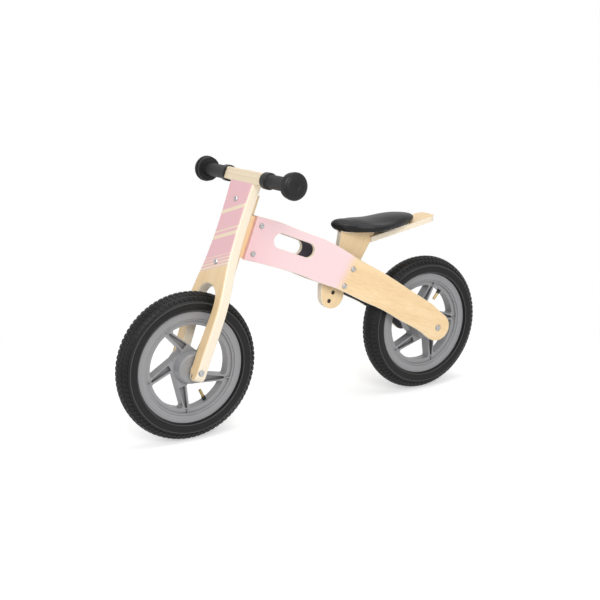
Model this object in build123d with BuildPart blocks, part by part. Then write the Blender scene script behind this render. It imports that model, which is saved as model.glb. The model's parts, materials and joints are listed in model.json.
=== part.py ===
"""Balance bike: sprung plywood frame boards, one-piece board fork and two 12 1/2 inch wheels.

Frame of reference: +X forward, +Y to the rider's left, +Z up, origin on the floor midway between
the two axles. All lengths are millimetres and all angles are degrees.
"""
from build123d import *
import os
from math import asin, cos, radians, sin, sqrt, tan

# ---------------------------------------------------------------- driving dimensions
WHEEL_BASE = 580.0
TYRE_R = 150.0                 # outer radius of a 12 1/2 x 2 1/4 tyre
TYRE_SECTION_R = 24.5          # radius of the tyre's cross-section
TYRE_WALL = 3.5
BEAD_RISE = 2.0                # of the bead's seat above the foot of the tyre's round section
TUBE_WALL = 1.4
RIM_FLANGE_H = 9.6             # of the rim's flange above the bead's seat
RIM_HALF_W = 17.5
RIM_FLANGE_T = 3.0
FLANGE_FACE_W = 14.1           # from the flange's edge in to the step of the spoked band
BAND_W = 13.5
WEB_HALF_T = 11.0
SPOKE_COUNT = 5
SPOKE_W = 21.0                 # at the hub
SPOKE_TIP_W = 12.5             # where it meets the band
SPOKE_OFFSET = 24.3            # each spoke runs past the hub's centre at this distance
SPOKE_RIB = 4.0                # at each side of the recess in a spoke
SPOKE_POCKET_DEPTH = 8.0
CHANNEL_RIB_W = 2.2            # rib that joins a spoke's end to the flange
CHANNEL_RIB_H = 4.0
FRONT_SPOKE_ANGLE = 117.8
REAR_SPOKE_ANGLE = -106.8
WINDOW_FILLET = 4.0
HUB_R = 30.0
HUB_HALF_L = 30.0
BEARING_OD = 22.0
BEARING_W = 7.0
BEARING_INSET = 0.5
AXLE_D = 8.0
RUN_CLEARANCE = 0.05           # radial, for everything that turns on a shaft
SIDE_CLEARANCE = 0.3           # along an axis, between parts that turn against each other
VALVE_D = 8.0
VALVE_TIP_D = 6.0
VALVE_REACH = 24.0             # how far the valve stands in from the band
VALVE_RUBBER_REACH = 8.0       # how far in its rubber reaches, where the brass begins
FRONT_VALVE_ANGLE = -155.0
REAR_VALVE_ANGLE = -41.0

HEAD_ANGLE = 68.0              # the steering axis, from the ground
PIVOT_BACK = 27.0              # the steering axis runs this far behind the line axle to handlebar
FORK_FRONT = 8.0               # front face of the fork board, ahead of that line
FORK_T = 21.0
FORK_TOP = 378.0               # along the fork, from the axle
FORK_TOP_HALF_W = 45.0
FORK_WAIST_HALF_W = 41.0
FORK_END_HALF_W = 62.0
FORK_SHOULDER_OUT = 3.0        # of the shoulders, the widest part, beyond the ends of the legs
LEG_BELOW_AXLE = 5.0           # straight part of a leg below the axle
ARCH_CLEARANCE = 17.0          # over the tyre
ARCH_HALF_W = 38.0
LEG_INNER = 31.5               # inner face of a leg at the axle
FORK_ROUND = 4.0
STEER_PIN_D = 8.0
BRACKET_HALF_W = 13.0
BRACKET_L = 39.0
PIN_HEAD_D = 14.0
PIN_HEAD_H = 3.0
PIN_NUT_H = 7.0
BUSH_OD = 14.0
BUSH_L = 20.0
BUSH_FLANGE_D = 24.0
BUSH_FLANGE_T = 1.5

BOARD_T = 9.5
HEAD_GAP = 33.0                # between the frame boards at the head
HEAD_DROP = 55.0               # of the boards' front edge below the fork's top
HEAD_EDGE_L = 90.0             # length of that edge, along the steering axis
HEAD_DRAWN = 323.0             # top of the edge, above the axle, in the side view of the boards
HEAD_BEND_FROM = 0.45          # share of the wheelbase ahead of which the boards follow the head
HEAD_BEND_TO = 0.75
BOARD_SETBACK = 9.5            # of the boards' front edge behind the steering axis
HEAD_BOLT_BACK = 25.0          # of the head bolts behind the steering axis
HEAD_BOLT_INSET = 16.0
FLEX_START_X = 120.0           # the boards are parallel ahead of this and spring apart behind it
FLEX_LENGTH = 219.0
SPRING_ANGLE = 7.55
TAIL_R = 31.0
BOARD_ROUND = 1.5
SLOT_X = 52.4
SLOT_RISE = 217.0              # height above the axles, as for every rise below
SLOT_LENGTH = 100.0
SLOT_H = 30.0
SLOT_ANGLE = 22.5

POST_T = 15.0
POST_END_R = 28.5
POST_END_X = -51.5
POST_END_RISE = 95.5
POST_HOLE_X = -42.6            # lowest height-setting hole
POST_HOLE_RISE = 84.6
POST_HOLE_PITCH = 20.0
POST_HOLE_COUNT = 6
POST_HOLE_LEAN = 121.2
POST_HOLE_D = 8.5
POST_EDGE_AHEAD = 35.3         # of the post's front edge ahead of the line of holes
POST_EDGE_LOW = 22.3           # where that edge begins and ends, up from the lowest hole
POST_EDGE_HIGH = 109.5
POST_TOP_RISE = 228.0
POST_TOP_FRONT = -75.5
POST_TOP_REAR = -169.0
POST_ROUND = 1.5

BASE_T = 9.0
BASE_INSET = 8.0
BASE_NOSE_BACK = 4.0           # of the end of the base's nose bevel behind the post's front edge
BRACE_T = 11.0
BRACE_ANGLE = 11.5
BRACE_FRONT_X = -148.0
BRACE_FRONT_RISE = 210.5
BRACE_END_X = -311.0
BRACE_FRONT_HALF_W = 13.0
BRACE_END_HALF_W = 28.0
WEDGE_MARGIN = 30.0            # of the cut for the brace, past its ends
POCKET_CLEARANCE = 1.0         # round the base board, in the cushion's underside
CUSHION_T = 25.0
CUSHION_NOSE_LIFT = 10.0       # of the underside at the nose
CUSHION_TAIL_LIFT = 11.0       # of the underside at the tail
CUSHION_LIFT_X = -155.0        # where the underside begins to rise towards the tail
CUSHION_NOSE = -51.0
CUSHION_TAIL = -272.0
CUSHION_HALF_W = 60.0
CUSHION_EDGE_H = 14.0          # height of the cushion's side wall
CUSHION_ROUND = 14.0           # how far its crown is set in from the wall
SOFT_CLEARANCE = 0.3

BAR_H = 25.0
BAR_D = 21.0
BAR_HALF_L = 72.0              # of the square middle part
BAR_ROUND = 4.0
TENON_D = 22.0
TENON_END = 172.0
GRIP_TUBE_D = 27.0
GRIP_COLLAR_D = 33.5
GRIP_COLLAR_L = 16.0
GRIP_FLANGE_D = 53.0
GRIP_FLANGE_START = 163.0
GRIP_END = 182.0
DOWEL_D = 10.0
DOWEL_L = 36.0

BOLT_D = 6.0
BOLT_HEAD_D = 12.0
BOLT_HEAD_H = 2.4
SLEEVE_D = 8.0                 # sleeve nut that takes the bolt
SLEEVE_L = 20.0
SPACER_OD = 14.0
SPOT_FACE_D = 15.0
AXLE_BOLT_D = 5.0
AXLE_BOLT_L = 18.0
AXLE_HEAD_D = 11.0
AXLE_HEAD_H = 3.0
WASHER_D = 13.0
WASHER_T = 1.0
SCREW_D = 4.5
SCREW_HEAD_D = 9.0
SCREW_HEAD_H = 3.2

# ---------------------------------------------------------------- places worked out from them
FRONT_AXLE_X = WHEEL_BASE / 2
REAR_AXLE_X = -WHEEL_BASE / 2
AXLE_Z = TYRE_R

BEAD_SEAT_R = TYRE_R - 2 * TYRE_SECTION_R + BEAD_RISE
RIM_FLANGE_R = BEAD_SEAT_R + RIM_FLANGE_H
BAND_OUTER_R = RIM_FLANGE_R - FLANGE_FACE_W
BAND_INNER_R = BAND_OUTER_R - BAND_W
VALVE_END_R = BAND_INNER_R - VALVE_REACH
VALVE_RUBBER_R = BAND_INNER_R - VALVE_RUBBER_REACH
ARCH_TOP = TYRE_R + ARCH_CLEARANCE
FORK_HALF_W = FORK_END_HALF_W + FORK_SHOULDER_OUT
LEG_END_R = (FORK_END_HALF_W - LEG_INNER) / 2
HEAD_HIGH = FORK_TOP - HEAD_DROP
HEAD_LOW = HEAD_HIGH - HEAD_EDGE_L

UP_AXIS = Vector(-cos(radians(HEAD_ANGLE)), 0, sin(radians(HEAD_ANGLE)))
FORWARD = Vector(sin(radians(HEAD_ANGLE)), 0, cos(radians(HEAD_ANGLE)))
FRONT_AXLE = Vector(FRONT_AXLE_X, 0, AXLE_Z)

FORK_BACK = FORK_FRONT - FORK_T
PIVOT_GAP = FORK_BACK + PIVOT_BACK            # from the steering axis to the fork's back face
BOARD_FRONT = -PIVOT_BACK - BOARD_SETBACK
HEAD_BOLT_AT = -PIVOT_BACK - HEAD_BOLT_BACK
BLOCK_BACK = HEAD_BOLT_AT - 14.0
BLOCK_FRONT = -PIVOT_BACK + PIVOT_GAP - 2.5
FRAME_HALF_W = HEAD_GAP / 2 + BOARD_T         # outer face of the boards at the head
BAR_S = FORK_TOP + BAR_H / 2
BAR_P = FORK_FRONT - BAR_D / 2
HEAD_BOLTS = (HEAD_HIGH - HEAD_BOLT_INSET, HEAD_LOW + HEAD_BOLT_INSET)
FLEX_R = FLEX_LENGTH / sin(radians(SPRING_ANGLE))

# Fork plane: x to the rider's left, y up the fork, z forward, origin on the front axle.
FORK_PLANE = Plane(origin=FRONT_AXLE, x_dir=(0, 1, 0), z_dir=FORWARD)
# Side plane of the head: x forward across the fork, y up the fork, z to the rider's right.
HEAD_PLANE = Plane(origin=FRONT_AXLE, x_dir=FORWARD, z_dir=(0, -1, 0))


def steering_plane(along):
    """Plane square to the steering axis, at this distance along it, x forward and y to the left."""
    origin = FRONT_AXLE + UP_AXIS * along - FORWARD * PIVOT_BACK
    return Plane(origin=origin, x_dir=FORWARD, z_dir=UP_AXIS)


def wheel_plane(axle_x, at_y=0.0):
    """Plane across the bike on a wheel's axle: x up, y forward, z to the left."""
    return Plane(origin=(axle_x, at_y, AXLE_Z), x_dir=(0, 0, 1), z_dir=(0, 1, 0))


def wheel_profile_plane(axle_x):
    """Plane through a wheel's axis, for profiles that are turned: x outwards, y to the left."""
    return Plane(origin=(axle_x, 0, AXLE_Z), x_dir=(0, 0, 1), z_dir=(-1, 0, 0))


def wheel_axis(axle_x):
    return Axis((axle_x, 0, AXLE_Z), (0, 1, 0))


def head_point(forward, along):
    """X and Z of a point given in the head's side plane."""
    point = FRONT_AXLE + FORWARD * forward + UP_AXIS * along
    return point.X, point.Z


def board_outer(x):
    """Distance of a frame board's outer face from the middle of the bike."""
    run = FLEX_START_X - x
    if run <= 0:
        return FRAME_HALF_W
    if run <= FLEX_LENGTH:
        return FRAME_HALF_W + FLEX_R - sqrt(FLEX_R ** 2 - run ** 2)
    bow = FLEX_R * (1 - cos(radians(SPRING_ANGLE)))
    return FRAME_HALF_W + bow + (run - FLEX_LENGTH) * tan(radians(SPRING_ANGLE))


def seat_in(x):
    """Flat seat on a board's inner face, where a spacer of SPACER_OD stands."""
    return board_outer(x - SPACER_OD / 2) - BOARD_T


def seat_out(x):
    """Flat seat on a board's outer face, where a bolt head or washer stands."""
    return board_outer(x + SPACER_OD / 2)


def post_point(reach, ahead=0.0):
    """X and Z of a point on the post: up the line of holes from the lowest, and ahead of it."""
    lean = radians(POST_HOLE_LEAN)
    x = POST_HOLE_X + reach * cos(lean) + ahead * sin(lean)
    return x, AXLE_Z + POST_HOLE_RISE + reach * sin(lean) - ahead * cos(lean)


def post_hole(index):
    """X and Z of a height-setting hole, counted up from the lowest."""
    return post_point(POST_HOLE_PITCH * index)


def head_follow(x):
    """How far the boards rise at x when the head stands higher than it is drawn."""
    share = (x - REAR_AXLE_X) / WHEEL_BASE
    part = (share - HEAD_BEND_FROM) / (HEAD_BEND_TO - HEAD_BEND_FROM)
    return (HEAD_HIGH - HEAD_DRAWN) * min(1.0, max(0.0, part))


SEAT_BOLT_HOLES = (2, 4)
SEAT_BOLTS = [post_hole(index) for index in SEAT_BOLT_HOLES]


def save(part, name):
    part.label = name
    export_step(part, "parts/" + name + ".step")


def brace_top(x):
    """Height of the brace's upper face."""
    return AXLE_Z + BRACE_FRONT_RISE + (BRACE_FRONT_X - x) * tan(radians(BRACE_ANGLE))


os.makedirs("parts", exist_ok=True)


# ---------------------------------------------------------------- wheels
def make_tyre(axle_x, name):
    mid_r = TYRE_R - TYRE_SECTION_R
    hold_r = RIM_FLANGE_R + 0.4
    inner_r = TYRE_SECTION_R - TYRE_WALL
    wall_y = sqrt(TYRE_SECTION_R ** 2 - (mid_r - hold_r) ** 2)
    neck_r = hold_r + 6.0
    neck_y = sqrt(inner_r ** 2 - (mid_r - neck_r) ** 2)
    bead_y = RIM_HALF_W - RIM_FLANGE_T - 0.2
    lip_y = bead_y - 4.0
    with BuildPart() as tyre:
        with BuildSketch(wheel_profile_plane(axle_x)):
            with BuildLine():
                ThreePointArc((hold_r, wall_y), (TYRE_R, 0), (hold_r, -wall_y))
                Polyline((hold_r, -wall_y), (hold_r, -bead_y), (BEAD_SEAT_R, -bead_y),
                         (BEAD_SEAT_R, -lip_y), (hold_r + 1.5, -lip_y), (neck_r, -neck_y))
                ThreePointArc((neck_r, -neck_y), (mid_r + inner_r, 0), (neck_r, neck_y))
                Polyline((neck_r, neck_y), (hold_r + 1.5, lip_y), (BEAD_SEAT_R, lip_y),
                         (BEAD_SEAT_R, bead_y), (hold_r, bead_y), (hold_r, wall_y))
            make_face()
        revolve(axis=wheel_axis(axle_x))
    save(tyre.part, name)
    return tyre.part


TUBE_R = TYRE_SECTION_R - TYRE_WALL - 5.0
TUBE_MID_R = TYRE_R - TYRE_WALL - 0.2 - TUBE_R


def make_inner_tube(axle_x, name):
    with BuildPart() as tube:
        with BuildSketch(wheel_profile_plane(axle_x)):
            with Locations((TUBE_MID_R, 0)):
                Circle(TUBE_R)
                Circle(TUBE_R - TUBE_WALL, mode=Mode.SUBTRACT)
        revolve(axis=wheel_axis(axle_x))
    save(tube.part, name)


SPOKE_NEAR = SPOKE_OFFSET - SPOKE_W / 2       # the two sides of a spoke, from the hub's centre
SPOKE_FAR = SPOKE_OFFSET + SPOKE_W / 2


def window_corners(side):
    """Corners of the window beside the spoke that lies along x: inner, outer, mid-arc, outer."""
    step = side * radians(360.0 / SPOKE_COUNT)
    spoke_normal = side * radians(90.0)
    next_normal = step + spoke_normal
    spoke_x, spoke_y = cos(spoke_normal), sin(spoke_normal)
    next_x, next_y = cos(next_normal), sin(next_normal)
    cross = spoke_x * next_y - spoke_y * next_x
    inner = ((SPOKE_FAR * next_y - SPOKE_NEAR * spoke_y) / cross,
             (SPOKE_NEAR * spoke_x - SPOKE_FAR * next_x) / cross)
    start = side * asin((SPOKE_OFFSET + SPOKE_TIP_W / 2) / BAND_INNER_R)
    end = step + side * asin((SPOKE_OFFSET - SPOKE_TIP_W / 2) / BAND_INNER_R)
    turns = (start, (start + end) / 2, end)
    return [inner] + [(BAND_INNER_R * cos(turn), BAND_INNER_R * sin(turn)) for turn in turns]


def pocket_corners(side):
    """Recess in a spoke's face, between its two ribs, narrowing towards the rim."""
    root, tip = HUB_R + 5.0, BAND_INNER_R - 5.0
    root_half = SPOKE_W / 2 - SPOKE_RIB
    tip_half = max(1.6, SPOKE_TIP_W / 2 - SPOKE_RIB)
    corners = [(root, SPOKE_OFFSET - root_half), (root, SPOKE_OFFSET + root_half),
               (tip, SPOKE_OFFSET + tip_half), (tip, SPOKE_OFFSET - tip_half)]
    return [(x, side * y) for x, y in corners]


def channel_rib_corners(side):
    """Thin rib that runs on from a spoke, over the band, to the flange."""
    start, end = BAND_INNER_R - 2.0, BAND_OUTER_R - 0.5
    corners = [(start, SPOKE_OFFSET - CHANNEL_RIB_W / 2), (start, SPOKE_OFFSET + CHANNEL_RIB_W / 2),
               (end, SPOKE_OFFSET + CHANNEL_RIB_W / 2), (end, SPOKE_OFFSET - CHANNEL_RIB_W / 2)]
    return [(x, side * y) for x, y in corners]


def make_rim(axle_x, spoke_angle, side, valve_angle, name):
    """One-piece moulded wheel: channel, spoked web and hub. side turns the spokes' slant over."""
    bead_y = RIM_HALF_W - RIM_FLANGE_T
    well_y = bead_y - 5.5
    half = [
        (RIM_FLANGE_R, bead_y), (RIM_FLANGE_R, RIM_HALF_W), (BAND_OUTER_R, RIM_HALF_W),
        (BAND_OUTER_R - 1.0, RIM_HALF_W - 2.5), (BAND_OUTER_R - 4.5, RIM_HALF_W - 2.5),
        (BAND_OUTER_R - 5.5, WEB_HALF_T), (BAND_INNER_R, WEB_HALF_T),
    ]
    well = [(BEAD_SEAT_R - 3.5, well_y - 2.5), (BEAD_SEAT_R, well_y), (BEAD_SEAT_R, bead_y)]
    outline = half + [(r, -y) for r, y in reversed(half)]
    outline += [(r, -y) for r, y in reversed(well)] + well
    corners = window_corners(side)
    with BuildSketch() as window:
        with BuildLine():
            Line(corners[0], corners[1])
            ThreePointArc(corners[1], corners[2], corners[3])
            Line(corners[3], corners[0])
        make_face()
        fillet(window.vertices(), WINDOW_FILLET)
    with BuildPart() as rim:
        with BuildSketch(wheel_profile_plane(axle_x)):
            with BuildLine():
                Polyline(*outline, close=True)
            make_face()
        revolve(axis=wheel_axis(axle_x))
        with BuildSketch(wheel_plane(axle_x)):
            Circle(BAND_INNER_R + 3.0)
        extrude(amount=WEB_HALF_T, both=True)
        with BuildSketch(wheel_plane(axle_x)):
            with PolarLocations(0, SPOKE_COUNT, start_angle=spoke_angle):
                add(window.sketch)
        extrude(amount=2 * WEB_HALF_T, both=True, mode=Mode.SUBTRACT)
        for face in (1, -1):
            with BuildSketch(wheel_plane(axle_x, face * WEB_HALF_T)) as pockets:
                with PolarLocations(0, SPOKE_COUNT, start_angle=spoke_angle):
                    Polygon(*pocket_corners(side), align=None)
                fillet(pockets.vertices(), 1.0)
            extrude(amount=-face * SPOKE_POCKET_DEPTH, mode=Mode.SUBTRACT)
        for face in (1, -1):
            with BuildSketch(wheel_plane(axle_x, face * WEB_HALF_T)) as ribs:
                with PolarLocations(0, SPOKE_COUNT, start_angle=spoke_angle):
                    Polygon(*channel_rib_corners(side), align=None)
            extrude(amount=face * CHANNEL_RIB_H)
        with BuildSketch(wheel_profile_plane(axle_x)):
            with BuildLine():
                Polyline((0, -HUB_HALF_L), (HUB_R - 3.0, -HUB_HALF_L), (HUB_R, -HUB_HALF_L + 3.0),
                         (HUB_R + 4.0, -WEB_HALF_T), (HUB_R + 4.0, WEB_HALF_T),
                         (HUB_R, HUB_HALF_L - 3.0), (HUB_R - 3.0, HUB_HALF_L), (0, HUB_HALF_L), close=True)
            make_face()
        revolve(axis=wheel_axis(axle_x))
        with BuildSketch(wheel_plane(axle_x)):
            Circle(BEARING_OD / 2 - 2.5)
        extrude(amount=HUB_HALF_L + 1.0, both=True, mode=Mode.SUBTRACT)
        for face in (1, -1):
            with BuildSketch(wheel_plane(axle_x, face * HUB_HALF_L)):
                Circle(BEARING_OD / 2)
            extrude(amount=-face * (BEARING_INSET + BEARING_W), mode=Mode.SUBTRACT)
        with BuildSketch(valve_plane(axle_x, valve_angle, BAND_INNER_R - 3.0)):
            Circle(VALVE_D / 2)
        extrude(amount=BEAD_SEAT_R - BAND_INNER_R + 6.0, mode=Mode.SUBTRACT)
    save(rim.part, name)
    return rim.part


def valve_plane(axle_x, angle, radius):
    """Plane square to the valve, at this distance from the axle; z points outwards."""
    out = Vector(sin(radians(angle)), 0, cos(radians(angle)))
    origin = Vector(axle_x, 0, AXLE_Z) + out * radius
    return Plane(origin=origin, x_dir=(0, 1, 0), z_dir=out)


def make_bearings(axle_x, name):
    """A pair of small ball bearings, each drawn as one ring with its shield groove."""
    with BuildPart() as bearings:
        for face in (1, -1):
            start = face * (HUB_HALF_L - BEARING_INSET)
            with BuildSketch(wheel_plane(axle_x, start)):
                Circle(BEARING_OD / 2)
                Circle(AXLE_D / 2 + RUN_CLEARANCE, mode=Mode.SUBTRACT)
            extrude(amount=-face * BEARING_W)
            with BuildSketch(wheel_plane(axle_x, start)):
                Circle(BEARING_OD / 2 - 2.0)
                Circle(AXLE_D / 2 + 2.0, mode=Mode.SUBTRACT)
            extrude(amount=-face * 0.6, mode=Mode.SUBTRACT)
    save(bearings.part, name)


def make_valve(axle_x, angle, stem_name, tip_name):
    tube_inner_r = TUBE_MID_R - TUBE_R
    with BuildPart() as stem:
        with BuildSketch(valve_plane(axle_x, angle, VALVE_RUBBER_R)):
            Circle(VALVE_D / 2)
        extrude(amount=tube_inner_r - 0.2 - VALVE_RUBBER_R)
        with BuildSketch(valve_plane(axle_x, angle, VALVE_RUBBER_R)):
            Circle(VALVE_TIP_D / 2 - 0.8)
        extrude(amount=10.0, mode=Mode.SUBTRACT)
    save(stem.part, stem_name)
    with BuildPart() as tip:
        with BuildSketch(valve_plane(axle_x, angle, VALVE_END_R)):
            Circle(VALVE_TIP_D / 2)
        extrude(amount=VALVE_RUBBER_R - VALVE_END_R)
        with BuildSketch(valve_plane(axle_x, angle, VALVE_RUBBER_R)):
            Circle(VALVE_TIP_D / 2 - 0.8)
        extrude(amount=10.0)
        with BuildSketch(valve_plane(axle_x, angle, VALVE_END_R)):
            Circle(VALVE_TIP_D / 2 - 1.2)
        extrude(amount=4.0, mode=Mode.SUBTRACT)
    save(tip.part, tip_name)


for wheel, axle_x, spoke_angle, side, valve_angle in (
        ("front", FRONT_AXLE_X, FRONT_SPOKE_ANGLE, -1, FRONT_VALVE_ANGLE),
        ("rear", REAR_AXLE_X, REAR_SPOKE_ANGLE, 1, REAR_VALVE_ANGLE)):
    make_tyre(axle_x, wheel + "_tyre")
    make_inner_tube(axle_x, wheel + "_inner_tube")
    make_rim(axle_x, spoke_angle, side, valve_angle, wheel + "_rim")
    make_bearings(axle_x, wheel + "_bearings")
    make_valve(axle_x, valve_angle, wheel + "_valve_stem", wheel + "_valve_tip")


# ---------------------------------------------------------------- axles
def make_axle(axle_x, half_l, name):
    """Steel bar with a tapped hole in each end."""
    with BuildPart() as axle:
        with BuildSketch(wheel_plane(axle_x)):
            Circle(AXLE_D / 2)
        extrude(amount=half_l, both=True)
        for face in (1, -1):
            with BuildSketch(wheel_plane(axle_x, face * half_l)):
                Circle(AXLE_BOLT_D / 2)
            extrude(amount=-face * (AXLE_BOLT_L + 1.0), mode=Mode.SUBTRACT)
    save(axle.part, name)


def make_axle_bolts(axle_x, half_l, name):
    """Button-head bolts, one in each end of the axle, each on its washer."""
    with BuildPart() as bolts:
        for face in (1, -1):
            head = face * (half_l + WASHER_T)
            with BuildSketch(wheel_plane(axle_x, head)):
                Circle(AXLE_HEAD_D / 2)
            extrude(amount=face * AXLE_HEAD_H, taper=20)
            with BuildSketch(wheel_plane(axle_x, head)):
                Circle(AXLE_BOLT_D / 2)
            extrude(amount=-face * AXLE_BOLT_L)
            with BuildSketch(wheel_plane(axle_x, head + face * AXLE_HEAD_H)):
                RegularPolygon(1.7, 6)
            extrude(amount=-face * 1.8, mode=Mode.SUBTRACT)
    save(bolts.part, name)


def make_rings(axle_x, spans, outer_d, inner_d, name):
    """Rings on an axle: spans gives where each begins and ends across the bike."""
    with BuildPart() as rings:
        for start, end in spans:
            with BuildSketch(wheel_plane(axle_x, start)):
                Circle(outer_d / 2)
                Circle(inner_d / 2, mode=Mode.SUBTRACT)
            extrude(amount=end - start)
    save(rings.part, name)


HUB_STOP = HUB_HALF_L - BEARING_INSET + SIDE_CLEARANCE
REAR_SEAT_IN = seat_in(REAR_AXLE_X)
REAR_SEAT_OUT = seat_out(REAR_AXLE_X)

make_axle(FRONT_AXLE_X, FORK_END_HALF_W, "front_axle")
make_axle_bolts(FRONT_AXLE_X, FORK_END_HALF_W, "front_axle_bolts")
make_rings(FRONT_AXLE_X, ((HUB_STOP, LEG_INNER), (-HUB_STOP, -LEG_INNER)), SPACER_OD, AXLE_D,
           "front_spacers")
make_rings(FRONT_AXLE_X, ((FORK_END_HALF_W, FORK_END_HALF_W + WASHER_T),
                          (-FORK_END_HALF_W, -FORK_END_HALF_W - WASHER_T)),
           WASHER_D, AXLE_BOLT_D, "front_axle_washers")
make_axle(REAR_AXLE_X, REAR_SEAT_OUT, "rear_axle")
make_axle_bolts(REAR_AXLE_X, REAR_SEAT_OUT, "rear_axle_bolts")
make_rings(REAR_AXLE_X, ((HUB_STOP, REAR_SEAT_IN), (-HUB_STOP, -REAR_SEAT_IN)), SPACER_OD, AXLE_D,
           "rear_spacers")
make_rings(REAR_AXLE_X, ((REAR_SEAT_OUT, REAR_SEAT_OUT + WASHER_T),
                         (-REAR_SEAT_OUT, -REAR_SEAT_OUT - WASHER_T)),
           WASHER_D, AXLE_BOLT_D, "rear_axle_washers")

# ---------------------------------------------------------------- fork board
# Half-widths of the fork board down its outer side, as (half-width, distance from the axle).
FORK_SIDE = [
    (FORK_TOP_HALF_W, FORK_TOP), (FORK_WAIST_HALF_W + 0.5, FORK_TOP - 58.0),
    (FORK_WAIST_HALF_W, FORK_TOP - 88.0), (FORK_WAIST_HALF_W + 1.5, FORK_TOP - 121.0),
    (FORK_WAIST_HALF_W + 6.5, ARCH_TOP + 46.0), (FORK_HALF_W - 9.0, ARCH_TOP + 8.0),
    (FORK_HALF_W - 2.0, ARCH_TOP - 27.0), (FORK_HALF_W, ARCH_TOP - 57.0),
    (FORK_HALF_W - 1.8, 50.0), (FORK_END_HALF_W, 0),
]
ARCH_SIDE = [
    (LEG_INNER, 0), (LEG_INNER + 1.5, ARCH_TOP - 104.0), (ARCH_HALF_W, ARCH_TOP - 61.0),
    (ARCH_HALF_W - 7.0, ARCH_TOP - 13.0),
    (0, ARCH_TOP),
]
BRACKET_LOWS = (HEAD_LOW - SIDE_CLEARANCE - BRACKET_L, HEAD_HIGH + SIDE_CLEARANCE)
BRACKET_SCREWS = [low + BRACKET_L / 2 for low in BRACKET_LOWS]
BRACKET_SCREW_DEPTH = PIVOT_GAP - STEER_PIN_D / 2 - 1.5
FORK_MIDDLE = Plane(origin=FRONT_AXLE, x_dir=FORWARD, z_dir=(0, 1, 0))
LEG_SCREW_Y = LEG_INNER + LEG_END_R - 4.75
LEG_SCREW_S = -LEG_BELOW_AXLE - 7.0
LEG_SCREW_L = 16.0
DOWEL_Y = 28.0

with BuildPart() as fork_board:
    with BuildSketch(FORK_PLANE.offset(FORK_BACK)):
        with BuildLine():
            Line((0, FORK_TOP), FORK_SIDE[0])
            Spline(*FORK_SIDE, tangents=((-0.1, -1), (0, -1)))
            Line((FORK_END_HALF_W, 0), (FORK_END_HALF_W, -LEG_BELOW_AXLE))
            ThreePointArc((FORK_END_HALF_W, -LEG_BELOW_AXLE),
                          (LEG_INNER + LEG_END_R, -LEG_BELOW_AXLE - LEG_END_R),
                          (LEG_INNER, -LEG_BELOW_AXLE))
            Line((LEG_INNER, -LEG_BELOW_AXLE), (LEG_INNER, 0))
            Spline(*ARCH_SIDE, tangents=((0, 1), (-1, 0)))
            Line((0, ARCH_TOP), (0, FORK_TOP))
        make_face()
    extrude(amount=FORK_T)
    mirror(about=FORK_MIDDLE)
    fore_and_aft = Axis(FRONT_AXLE, FORWARD)
    rounded = fork_board.faces().sort_by(fore_and_aft)[-1].edges()
    rounded = rounded.filter_by(lambda e: abs(HEAD_PLANE.to_local_coords(e @ 0.5).Y - FORK_TOP) > 1)
    fillet(rounded, FORK_ROUND)
    rounded = fork_board.faces().sort_by(fore_and_aft)[0].edges()
    rounded = rounded.filter_by(lambda e: abs(HEAD_PLANE.to_local_coords(e @ 0.5).Y - FORK_TOP) > 1)
    fillet(rounded, FORK_ROUND / 2)
    with BuildSketch(wheel_plane(FRONT_AXLE_X)):
        Circle(AXLE_D / 2)
    extrude(amount=2 * FORK_HALF_W, both=True, mode=Mode.SUBTRACT)
    with BuildSketch(wheel_plane(FRONT_AXLE_X)):
        Circle(SPOT_FACE_D / 2)
    extrude(amount=LEG_INNER, both=True, mode=Mode.SUBTRACT)
    for side in (1, -1):
        with BuildSketch(wheel_plane(FRONT_AXLE_X, side * FORK_END_HALF_W)):
            Circle(SPOT_FACE_D / 2)
        extrude(amount=side * 10.0, mode=Mode.SUBTRACT)
    with BuildSketch(FORK_PLANE.offset(FORK_FRONT)):
        with Locations(*[(0, s) for s in BRACKET_SCREWS]):
            Circle(BOLT_D / 2)
    extrude(amount=-FORK_T, mode=Mode.SUBTRACT)
    with BuildSketch(FORK_PLANE.offset(FORK_FRONT)):
        with Locations((LEG_SCREW_Y, LEG_SCREW_S), (-LEG_SCREW_Y, LEG_SCREW_S)):
            Circle(SCREW_D / 2)
    extrude(amount=-LEG_SCREW_L, mode=Mode.SUBTRACT)
    with BuildSketch(FORK_PLANE.offset(FORK_FRONT)):
        with Locations((LEG_SCREW_Y, LEG_SCREW_S), (-LEG_SCREW_Y, LEG_SCREW_S)):
            Circle(SCREW_HEAD_D / 2)
    extrude(amount=-SCREW_HEAD_H - 1.0, mode=Mode.SUBTRACT)
    with BuildSketch(steering_plane(FORK_TOP)):
        with Locations((PIVOT_BACK + BAR_P, DOWEL_Y), (PIVOT_BACK + BAR_P, -DOWEL_Y)):
            Circle(DOWEL_D / 2)
    extrude(amount=-DOWEL_L / 2, mode=Mode.SUBTRACT)
save(fork_board.part, "fork_board")


def make_bracket(low, name):
    with BuildPart() as bracket:
        with BuildSketch(steering_plane(low)):
            with Locations((PIVOT_GAP / 2, 0)):
                Rectangle(PIVOT_GAP, 2 * BRACKET_HALF_W)
            Circle(BRACKET_HALF_W)
            Circle(STEER_PIN_D / 2, mode=Mode.SUBTRACT)
        extrude(amount=BRACKET_L)
        with BuildSketch(FORK_PLANE.offset(FORK_BACK)):
            with Locations((0, low + BRACKET_L / 2)):
                Circle(BOLT_D / 2)
        extrude(amount=-BRACKET_SCREW_DEPTH - 0.5, mode=Mode.SUBTRACT)
    save(bracket.part, name)


make_bracket(BRACKET_LOWS[0], "pivot_bracket_lower")
make_bracket(BRACKET_LOWS[1], "pivot_bracket_upper")

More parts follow.
